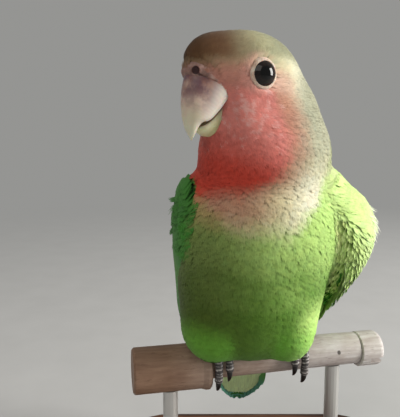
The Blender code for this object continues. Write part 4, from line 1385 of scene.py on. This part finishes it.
def grow_wing(side, material, flight_material):
    """Coverts, secondaries and primaries of one folded wing."""
    front = 1.0 if side == "left" else -1.0
    blade = wing_blade(side)
    name = "coat_wing_" + side
    shoulder_coverts(name + "_shoulder", blade, (0.10, 0.34), (-math.pi, math.pi), 1.35,
                     material)
    shoulder_coverts(name + "_inner", blade, (0.33, 0.60), (-math.pi, -0.1), 2.1, material)
    rows = Rows(blade, front)
    for row in COVERT_ROWS:
        rows.add(*row)
    rows.weave(name + "_coverts", COVERT, material, 0.14)
    rows = Rows(blade, front)
    rows.add(11, np.linspace(0.45, 0.36, 11), np.linspace(0.74, 0.90, 11), (0.66, -0.97),
             (0.30, -0.97), 3.1, -0.46, ("wing_dark", "wing", "wing_edge"), 0.01)
    rows.weave(name + "_secondaries", SECONDARY, flight_material, 0.24, tip_from=0.9)
    rows = Rows(blade, front)
    rows.add(9, np.linspace(0.52, 0.46, 9), PRIMARY_TIPS, (0.90, 0.10), (1.3, -1.3), 2.4, -0.86,
             ("primary", "wing_dark", "primary"), 0.02)
    rows.weave(name + "_primaries", PRIMARY, flight_material, 0.18, tip_from=0.55)


TAIL_PAIRS, TAIL_ROOT, TAIL_HALF = 6, 0.06, 2.9
TAIL_COVERT_ROWS = 12


def grow_tail(material, flight_material):
    """Twelve tail feathers, stacked under the middle pair, with coverts above and below."""
    blade = tail_blade()
    count = 2 * TAIL_PAIRS
    rank = np.abs(np.arange(count) - TAIL_PAIRS + 0.5) - 0.5       # 0 for the middle pair
    side = np.repeat((-1, 1), TAIL_PAIRS)
    tips = 1.0 - 0.028 * rank ** 1.4
    start = side * (0.5 + 0.90 * rank)
    ends = side * (1.1 + 1.25 * rank)
    tones = tones_of(count, "tail", "tail", "tail_tip", amount=0.04)
    lay("coat_tail", blade, SECONDARY, (TAIL_ROOT + 0.002 * rank, start), ends,
        (tips - TAIL_ROOT) * blade.length, np.full(count, TAIL_HALF), -0.60 - 0.15 * rank,
        0.0, tones,
        flight_material, dip=0.2, tip_from=0.8)
    for name, face, base, tip, reach in (("upper", 1.0, "rump", "rump_tip", 0.50),
                                         ("under", -1.0, "undertail", "undertail", 0.88)):
        rows = Rows(blade, 1.0)
        for k in range(TAIL_COVERT_ROWS):
            share = k / (TAIL_COVERT_ROWS - 1)
            count = 12 - k % 2
            end = 0.10 + (reach - 0.10) * share
            narrow = 0.9 - 0.25 * share - 0.06 * (k % 2)
            rows.add(count, end - 0.26, end, (-narrow, narrow), (-narrow, narrow), 1.9,
                     0.50 - 0.06 * k, (base, base, tip))
        rows.weave("coat_tail_" + name, COVERT, material, 0.0, face=face, dip=0.6)


# Eyes, bill and feet

UPPER_RIDGE = ((13.2, 3.4), (16.6, 1.6), (18.3, -4.0), (18.5, -9.5), (17.7, -14.0),
               (16.1, -17.2))
UPPER_EDGE = ((5.5, -3.2), (7.6, -5.6), (10.2, -9.2), (12.6, -11.9), (14.6, -12.9),
              (16.1, -17.0))
LOWER_RIDGE = ((3.6, -12.5), (7.0, -15.2), (10.5, -16.3), (13.2, -15.8), (14.7, -14.2))
LOWER_EDGE = ((3.0, -4.9), (6.3, -6.2), (9.6, -9.6), (12.3, -12.5), (14.4, -13.8))
NOSTRIL = ((16.3, 3.5, 0.9), (14.7, 4.8, -1.3))    # its hole, and where its crease ends
NOSTRIL_RADIUS, NOSTRIL_DEPTH = 1.25, 0.42
BARE_BY_NOSTRIL = 2.4         # how near its hole's middle feathers come
EYE_OPENING = (2.95, 3.3)     # half the width and height of what shows of the eye
RING_EDGE = (3.55, 3.95)      # half the width and height that the feathers leave free


def upper_width(t):
    """Half the upper mandible's width, t being 0 at its root and 1 at its tip."""
    return 6.9 * (1 - 0.96 * t ** 1.5) ** 0.8


def lower_width(t):
    return 4.7 * (1 - 0.9 * t ** 2.6) ** 0.7


def horn_point(top, edge, width, t, angle, margin=0.0):
    """A point of a mandible: angle runs from its left edge over the ridge to the right."""
    shape = np.broadcast(t, angle).shape
    t = np.broadcast_to(t, shape)
    ridge = curve(top, t.ravel()).reshape(*shape, 2)
    rim = curve(edge, t.ravel()).reshape(*shape, 2)
    rise = ridge - rim
    rise = rise / (np.linalg.norm(rise, axis=-1, keepdims=True) + 1e-6)
    margin = np.broadcast_to(margin, shape)[..., None]
    ridge, rim = ridge + rise * margin, rim - rise * margin
    over = np.clip(np.sin(angle), 0, 1)[..., None] ** 0.8
    fz = rim + (ridge - rim) * over
    side = (width(t) + margin[..., 0]) * np.cos(angle)
    return HEAD_POINT + fz[..., :1] * HEAD_FORWARD + side[..., None] * HEAD_LEFT \
        + fz[..., 1:] * HEAD_UP


HORN_RELIEF = 0.03                  # height of the bill's growth lines


def make_mandible(name, top, edge, width, hollow, material, slot):
    """A mandible: an arch of horn with a hollow between its cutting edges."""
    count, arch, floor = 56, 40, 14
    t = np.linspace(0, 1, count)[:, None]
    angle = np.linspace(0, math.pi, arch + 1)[None]
    outer = horn_point(top, edge, width, t, angle)
    bumps = HORN_RELIEF * (np.sin(t * 42 + 1.5 * np.cos(2 * angle)) * smooth(0.95, 0.6, t)
                           + 0.6 * ripple(outer, 3.0, 5.0))
    outer = horn_point(top, edge, width, t, angle, bumps * np.sin(angle))
    s = 1 - 2 * np.arange(1, floor) / floor
    ridge, rim = curve(top, t[:, 0]), curve(edge, t[:, 0])
    rise = hollow * (1 - s * s)[None, :, None] * smooth(1.0, 0.8, t)[..., None]
    fz = rim[:, None] + (ridge - rim)[:, None] * rise
    side = -width(t) * s[None]
    inner = HEAD_POINT + fz[..., :1] * HEAD_FORWARD + side[..., None] * HEAD_LEFT \
        + fz[..., 1:] * HEAD_UP
    # painted highlight: pale along the cutting edges
    edge_highlight = np.concatenate([(1 - smooth(0.0, 0.75, np.sin(angle[0]))) ** 2,
                               np.zeros(floor - 1)])
    parts = Parts()
    parts.add_tube(np.concatenate([outer, inner], 1), turned=True, last={"along": 1.0},
                   along=(t + 0 * edge_highlight).ravel(), rim=(edge_highlight + 0 * t).ravel())
    return place_piece(parts.build(name, material), slot, name)


CERE_LOW = ((11.0, 6.9, -3.6), (13.4, 5.9, -2.7), (16.1, 4.1, -2.0), (17.7, 0, -1.6),
            (16.1, -4.1, -2.0), (13.4, -5.9, -2.7), (11.0, -6.9, -3.6))
CERE_HIGH = ((10.6, 7.0, -2.2), (12.4, 6.5, 0.6), (14.9, 4.9, 2.9), (16.9, 0, 4.2),
             (14.9, -4.9, 2.9), (12.4, -6.5, 0.6), (10.6, -7.0, -2.2))
CERE_ROWS, CERE_COLUMNS = 56, 260


def from_head(points):
    """Points given in head coordinates."""
    return HEAD_POINT + np.asarray(points) @ HEAD_AXES


def cere_points():
    """The cere over the bill's root, swollen a little, and how far in each nostril it is."""
    u = np.linspace(0, 1, CERE_COLUMNS)
    v = np.linspace(0, 1, CERE_ROWS)[:, None]
    low, high = from_head(curve(CERE_LOW, u)), from_head(curve(CERE_HIGH, u))
    points = low[None] * (1 - v[..., None]) + high[None] * v[..., None]
    middle = np.sin(math.pi * u)[None] ** 0.5
    swell = smooth(0.0, 0.42, v) * smooth(1.05, 0.55, v) * (0.5 + 0.5 * middle)
    level = -0.75 + 0.80 * swell + 0.06 * ripple(points, 1.6, 2.0)
    for _ in range(3):
        value, out = gradient(body_field, points)
        points = points - out * (value - level)[..., None]
    pit = np.zeros(points.shape[:2])
    for side in (1, -1):
        ends = from_head(np.array(NOSTRIL) * (1, side, 1))
        for _ in range(3):
            value, away = gradient(body_field, ends)
            ends = ends - away * value[:, None]
        hole, tail = ends
        line = tail - hole
        share = np.clip(((points - hole) @ line) / (line @ line), 0, 1)
        distance = np.linalg.norm(points - hole, axis=-1)
        crease = np.linalg.norm(points - hole - share[..., None] * line, axis=-1)
        # painted shade: the nostril's hole and its crease marked for darkening
        pit = np.maximum(pit, smooth(NOSTRIL_RADIUS, 0.75, distance))
        pit = np.maximum(pit, 0.45 * smooth(0.75, 0.15, crease) * (1 - 0.6 * share))
        rim = np.exp(-((distance - NOSTRIL_RADIUS) / 0.35) ** 2)
        points = points + out * (0.16 * rim)[..., None]
    return points - out * (NOSTRIL_DEPTH * pit)[..., None], pit


FRINGE_TRIES, FRINGE_SPACING, FRINGE_SINK = 2600, 0.36, 0.12
FRINGE_OFF_NOSTRIL = 2.3


def fringe_cere(points, pit, material):
    """Tiny feathers that grow from the cere's upper edge and hide where it ends."""
    v = 1 - 0.48 * RNG.random(FRINGE_TRIES) ** 1.3
    u = RNG.random(FRINGE_TRIES)
    i = (v * (CERE_ROWS - 1)).astype(int)
    j = (u * (CERE_COLUMNS - 1)).astype(int)
    roots = points[i, j]
    clear = pit[i, j] < 0.02
    for side in (1, -1):
        hole = from_head(np.array(NOSTRIL[0]) * (1, side, 1))
        clear &= np.linalg.norm(roots - hole, axis=-1) > FRINGE_OFF_NOSTRIL
    roots, u, v = roots[clear], u[clear], v[clear]
    chosen = spread_out(roots, np.full(len(roots), FRINGE_SPACING))
    roots, uvs = roots[chosen], np.stack([u, v], -1)[chosen]
    count = len(roots)
    value, outs = gradient(body_field, roots)
    roots = roots - FRINGE_SINK * outs
    lies = unit(roots - BILL_ROOT + RNG.normal(0, 1.2, (count, 3)))
    lengths = RNG.uniform(1.0, 1.9, count) * (0.6 + 0.5 * uvs[:, 1])
    tones = varied(paint(roots + 1.2 * lies), 0.10)
    grow("coat_cere_fringe", LOCK, roots, lies, lengths, lengths * 0.22,
         value + FRINGE_SINK, tones, uvs, material)


def make_cere(material, feather_material):
    """The cere as a piece, with the feathers round it as another."""
    points, pit = cere_points()
    fringe_cere(points, pit, feather_material)
    parts = Parts()
    parts.add(points, grid_faces(CERE_ROWS, CERE_COLUMNS), pit=pit.ravel())
    return place_piece(parts.build("cere", material), "face")


def eye_frame(side):
    """An eye's centre, axis and the ways across and up its opening."""
    axis = eye_axis(side)
    up = unit(HEAD_UP - axis * (HEAD_UP @ axis))
    return eye_centre(side), axis, np.cross(up, axis), up


def make_eyes(material, ring_material):
    """Eyeballs sunk behind lids, with a pebbled bare ring round each opening."""
    rows, columns = 40, 56
    ring_parts = Parts()
    for name, side in (("eye_left", 1), ("eye_right", -1)):
        centre, axis, across, up = eye_frame(side)
        polar = np.linspace(0.001, math.pi - 0.001, rows)[:, None]
        turn = round_turn(columns)
        bulge = 1 + 0.015 * smooth(0.9, 0.3, polar)
        ball = EYE_RADIUS * bulge[..., None] * (
            (np.sin(polar) * np.cos(turn))[..., None] * across
            + (np.sin(polar) * np.sin(turn))[..., None] * up
            + (np.cos(polar) + 0 * turn)[..., None] * axis)
        parts = Parts()
        parts.add(centre + ball, grid_faces(rows, columns, True),
                  iris=(smooth(0.42, 0.46, polar) + 0 * turn).ravel())
        place_piece(parts.build(name, material), "eye", name)
        add_ring(ring_parts, centre, axis, across, up)
    place_piece(ring_parts.build("eye_rings", ring_material), "face")


RING_PROFILE = (
    # reach as a share of the opening, and height above the eyeball's centre
    (0.95, 2.35), (0.985, 2.62), (1.01, 2.80), (1.045, 2.86), (1.08, 2.78), (1.10, 2.66),
    (1.13, 2.68), (1.17, 2.60), (1.20, 2.42), (1.24, 2.22), (1.32, 1.6), (1.45, 0.8),
)


def add_ring(parts, centre, axis, across, up):
    """Two lids that meet in front and behind, and the bare ring that they fold out of."""
    columns = 120
    turn = round_turn(columns)
    steps = np.linspace(0, 1, 34)
    shape = curve(RING_PROFILE, steps)
    reach, depth = shape[:, :1], shape[:, 1:2]
    half = np.hypot(EYE_OPENING[0] * np.cos(turn), EYE_OPENING[1] * np.sin(turn))
    beads = 0.05 * smooth(1.05, 1.15, reach) * (
        np.sin(turn * 30 + 3 * np.sin(reach * 40)) * np.sin(reach * 60))
    corner = np.exp(-(np.minimum(np.abs(turn), np.abs(turn - 2 * math.pi)) / 0.2) ** 2) \
        + np.exp(-((turn - math.pi) / 0.2) ** 2)
    radius = half * reach * (1 + 0.035 * corner * smooth(1.2, 0.95, reach))
    points = centre + (radius * np.cos(turn))[..., None] * across \
        + (radius * np.sin(turn))[..., None] * up + (depth + beads)[..., None] * axis
    parts.add(points, grid_faces(len(steps), columns, True))


FOOT_PLACES = {"left": 12.1, "right": -13.1}
TOE_RADIUS, TOE_SPREAD = 1.4, 1.7
TOES = {"inner_front": (-1, 1, 10.5), "outer_front": (1, 1, 14.0),
        "inner_back": (-1, -1, 8.0), "outer_back": (1, -1, 13.0)}
TOE_START, GRIP_END = math.radians(16.0), math.radians(98.0)
STRAIGHTER, CLAW_LENGTH = 0.25, 4.6
SCUTE, TOE_SIDES = 1.05, 28     # length of one scale of a toe, and points round it
SCALE_RELIEF, PAD_RELIEF = 0.17, 0.05       # as shares of its radius
CLAW_RADIUS, CLAW_SIDES = 0.95, 18


def perch_radius(along):
    share = (along - STEP_AT - GAP) / (SEAM_AT - STEP_AT - 2 * GAP)
    return PERCH_RADIUS + (PERCH_RADIUS_FAR - PERCH_RADIUS) * min(max(share, 0), 1)


def grip_point(along, way, length):
    """The point a length along a toe's grip, and the angle that it heads past level."""
    radius = perch_radius(along) + GAP + TOE_RADIUS
    bent = min(length, (GRIP_END - TOE_START) * radius)
    angle = TOE_START + bent / radius
    point = PERCH_DIR * along + radius * (math.sin(angle) * way * PERCH_FRONT
                                          + math.cos(angle) * UP)
    steps = 12
    for _ in range(steps):
        step = (length - bent) / steps
        point = point + step * (way * math.cos(angle) * PERCH_FRONT - math.sin(angle) * UP)
        angle += STRAIGHTER * step / radius
    return point, angle


def scaly_tube(path, radii, side):
    """A tube with bands of scales over its outer side and pebbles below."""
    across, over = frames_along(path, side)
    run = np.concatenate([[0], np.cumsum(np.linalg.norm(np.diff(path, axis=0), axis=-1))])
    turn = round_turn(TOE_SIDES)
    phase = run[:, None] / SCUTE + 0.12 * np.cos(turn) + 0.16 * np.sin(2.3 * run)[:, None]
    saw = phase % 1.0
    outer = smooth(-0.2, 0.5, np.sin(turn))
    band = (saw ** 2 - 0.4) * outer
    pads = 0.5 * np.sin(phase * 4.4) * np.sin(turn * 7) * (1 - outer)
    end = smooth(0, 0.8, run[-1] - run)[:, None]
    radius = radii[:, None] * (1 + SCALE_RELIEF * band + PAD_RELIEF * pads) \
        * (0.25 + 0.75 * end)
    points = path[:, None] + across[:, None] * (radius * np.cos(turn))[..., None] \
        + over[:, None] * (radius * np.sin(turn))[..., None]
    # painted highlight: the pale edge of each scale on the outer side
    edge = smooth(0.55, 0.95, saw) * outer
    return points, edge


def tube_piece(name, rings, material, slot, **values):
    """A closed tube as a piece, in place of the node of its own name."""
    parts = Parts()
    parts.add_tube(rings, **{key: value.ravel() for key, value in values.items()})
    return place_piece(parts.build(name, material), slot, name)


def make_feet(skin_finish, horn):
    """Both legs, and the toes that grip the perch before and behind."""
    for side, middle in FOOT_PLACES.items():
        outward = 1 if side == "left" else -1
        sole = perch_radius(middle) + GAP + TOE_RADIUS
        pad = UP * sole + PERCH_DIR * middle
        rows = np.linspace(0, 1, 44)
        shin = curve((pad + (0, -0.3, -0.5), pad + (0, 1.2, 4.5), pad + (0, 3.4, 8.5)), rows)
        radii = curve(((2.1,), (1.55,), (1.45,), (1.4,)), rows)[:, 0]
        points, edge = scaly_tube(shin, radii, -PERCH_DIR)
        tube_piece("leg_" + side, points, skin_finish, "foot", edge=edge)
        for name, (lateral, way, length) in TOES.items():
            make_toe(f"{side}_{name}", middle + outward * lateral * TOE_SPREAD, way, length,
                     skin_finish, horn)


def make_toe(name, along, way, length, skin_finish, horn):
    """One toe with its bands of scales and pads, and the claw that grows from it."""
    path = np.array([grip_point(along, way, x)[0]
                     for x in np.linspace(0, length + 0.35, 72)])
    share = np.linspace(0, 1, len(path))
    radii = TOE_RADIUS * (1.0 - 0.16 * share + 0.05 * np.cos(share * 14))
    points, edge = scaly_tube(path, radii, PERCH_DIR * way)
    tube_piece("toe_" + name, points, skin_finish, "foot", edge=edge)
    claw, reach = [], np.linspace(0, 1, 30)
    for part in reach:
        point, angle = grip_point(along, way, length + GAP + CLAW_LENGTH * part - 0.5)
        out = way * math.sin(angle) * PERCH_FRONT + math.cos(angle) * UP
        claw.append(point + out * (0.9 * part - 1.9 * part ** 2))
    claw = np.array(claw)
    across, over = frames_along(claw, PERCH_DIR * way)
    turn = round_turn(CLAW_SIDES)
    radius = (CLAW_RADIUS * (1 - reach ** 1.7) + 0.12)[:, None]
    ring = claw[:, None] + across[:, None] * (0.85 * radius * np.cos(turn))[..., None] \
        + over[:, None] * (radius * np.sin(turn))[..., None]
    tube_piece("claw_" + name, ring, horn, "claw", along=reach[:, None] + 0 * turn)


# Building

def blade_rings(blade, sections=40, sides=28):
    """Rings of points round a blade, from its root to its tip."""
    t = np.linspace(0, 1, sections)[:, None]
    angle = np.arange(sides) * 2 * math.pi / sides
    return blade.at(t + 0 * angle, angle + 0 * t)[0]


def paint_skin(p):
    """The plumage's markings, and on the wings and tail theirs, darkened as painted shade between
    the feathers.
    """
    off_body = smooth(0.3, 1.6, body_field(p))
    tones = mix(paint(p), PALETTE["wing"], off_body)
    # painted shade: the skin a tenth darker than the coat
    return 0.9 * tones


def make_skin(material):
    """One closed skin: trunk, neck, head, wings and tail melted together."""
    skin = Skin()
    parts = Parts()
    parts.add_tube(skin.points, wrap=False)
    for blade in (wing_blade("left", WING_INSET), wing_blade("right", WING_INSET),
                  tail_blade(TAIL_INSET)):
        parts.add_tube(blade_rings(blade), turned=True)
    rough = parts.build("skin_parts", material)
    melt = rough.modifiers.new("melt", "REMESH")
    melt.mode, melt.voxel_size = "VOXEL", SKIN_VOXEL * MM
    graph = bpy.context.evaluated_depsgraph_get()
    melted = rough.evaluated_get(graph).to_mesh()
    points = np.empty(len(melted.vertices) * 3, np.float32)
    melted.vertices.foreach_get("co", points)
    corners = np.empty(len(melted.loops), np.int32)
    melted.loops.foreach_get("vertex_index", corners)
    sizes = np.empty(len(melted.polygons), np.int32)
    melted.polygons.foreach_get("loop_total", sizes)
    if not (sizes == 4).all():
        raise ValueError("the melted skin isn't all quads")
    points = points.reshape(-1, 3) / MM - PERCH_POINT
    made = make_mesh("skin", points, [corners.reshape(-1, 4)], material, paint_skin(points))
    bpy.data.objects.remove(rough)
    place_piece(made, "plumage", "trunk", "neck", "head", "thigh_left", "thigh_right",
                "wing_left", "wing_right", "tail")
    return skin


def camera_and_light():
    """The photo's viewpoint, a soft window light from the right and a pale surround."""
    data = bpy.data.cameras.new("camera")
    data.sensor_fit, data.sensor_width = "HORIZONTAL", 36.0
    data.lens = 36.0 * FOCAL_PX / FRAME_WIDTH
    data.clip_start, data.clip_end = 0.005, 20.0
    made = bpy.data.objects.new("camera", data)
    made.location = (CAMERA_AT + PERCH_POINT) * MM
    made.rotation_euler = (math.pi / 2 - CAMERA_PITCH, 0, 0)
    bpy.context.scene.collection.objects.link(made)
    bpy.context.scene.camera = made
    for name, place_m, aim_m, width, height, power, tint in LIGHTS:
        lamp = bpy.data.lights.new(name, "AREA")
        lamp.shape, lamp.size, lamp.size_y = "RECTANGLE", width, height
        lamp.energy, lamp.color = power, tint
        made = bpy.data.objects.new(name, lamp)
        made.location = place_m
        way = np.array(aim_m) - np.array(place_m)
        made.rotation_euler = Vector(way).to_track_quat("-Z", "Y").to_euler()
        bpy.context.scene.collection.objects.link(made)
    world = bpy.data.worlds.new("surround")
    world.use_nodes = True
    world.node_tree.nodes["Background"].inputs[0].default_value = (*SURROUND, 1)
    bpy.context.scene.world = world
    bpy.context.scene.view_settings.view_transform = "Standard"


# upper mandible: dusky at its root, darkened further there as painted shade; paler towards the tip
UPPER_TONES = ((0.15, "744940"), (0.30, "875f55"), (0.46, "cdb2a4"),
               (0.66, "d2c9ae"), (0.95, "d8dabf"))
LOWER_TONES = ((0.1, "bab480"), (0.5, "d2cd98"), (0.9, "e0dfb8"))
WING_INSET, TAIL_INSET = 1.0, 0.9
SKIN_VOXEL = 0.65
FRAME_WIDTH, FOCAL_PX = 400.0, 500.0
CAMERA_AT = np.array((-18.9, -158.0, 68.5))
CAMERA_PITCH = math.radians(7.0)
SURROUND = (0.30, 0.30, 0.29)
LIGHTS = (
    # name, place, aim, width, height, power, colour
    ("window", (1.14, -0.15, 0.45), (0.0, 0.0, 0.09), 0.5, 0.8, 24.0, (1.0, 0.98, 0.93)),
    ("fill", (-0.60, -0.95, 1.20), (0.0, 0.0, 0.12), 1.2, 1.2, 6.5, (1.0, 0.95, 0.87)),
)
FLOOR_RINGS = (0.001, 0.3, 1.0, 3.0, 8.0)       # radii of the floor's rings, in metres


def make_floor(material):
    angles = round_turn(64)[0]
    rings = [np.stack([r * np.cos(angles), r * np.sin(angles), 0 * angles], -1)
             for r in FLOOR_RINGS]
    points = np.concatenate(rings) / MM - PERCH_POINT
    made = make_mesh("floor", points, [grid_faces(len(rings), len(angles), True)], material)


def main():
    plumage = plumage_material("plumage")
    skin = make_skin(skin_material())
    grow_coat(skin, plumage)
    flight = plumage_material("flight", 0.5, 55.0, 0.45)
    for side in WING_PATHS:
        grow_wing(side, plumage, flight)
        grow_scapulars(side, plumage)
    grow_tail(plumage, flight)
    grow_fluff(plumage)
    horn = bill_material("bill_horn", UPPER_TONES, "5e3848", 0.80, 0.80)
    pale_horn = bill_material("bill_pale_horn", LOWER_TONES, "8b8a60", 0.3, 0.25)
    make_mandible("bill_upper", UPPER_RIDGE, UPPER_EDGE, upper_width, 0.5, horn, "bill")
    make_mandible("bill_lower", LOWER_RIDGE, LOWER_EDGE, lower_width, 0.3, pale_horn,
                  "bill_pale")
    make_cere(cere_material(), plumage)
    make_eyes(eye_material(), bare_skin_material())
    make_feet(foot_material(), claw_material())
    # The stand's two rods keep the plain metal that the solids carry.
    for material, names in ((perch_material(), ("perch_thick", "perch_rod", "perch_end")),
                            (stand_wood_material(), ("stand_base",))):
        for name in names:
            NODES[name].data.materials.clear()
            NODES[name].data.materials.append(material)
    make_floor(floor_material())
    camera_and_light()


main()
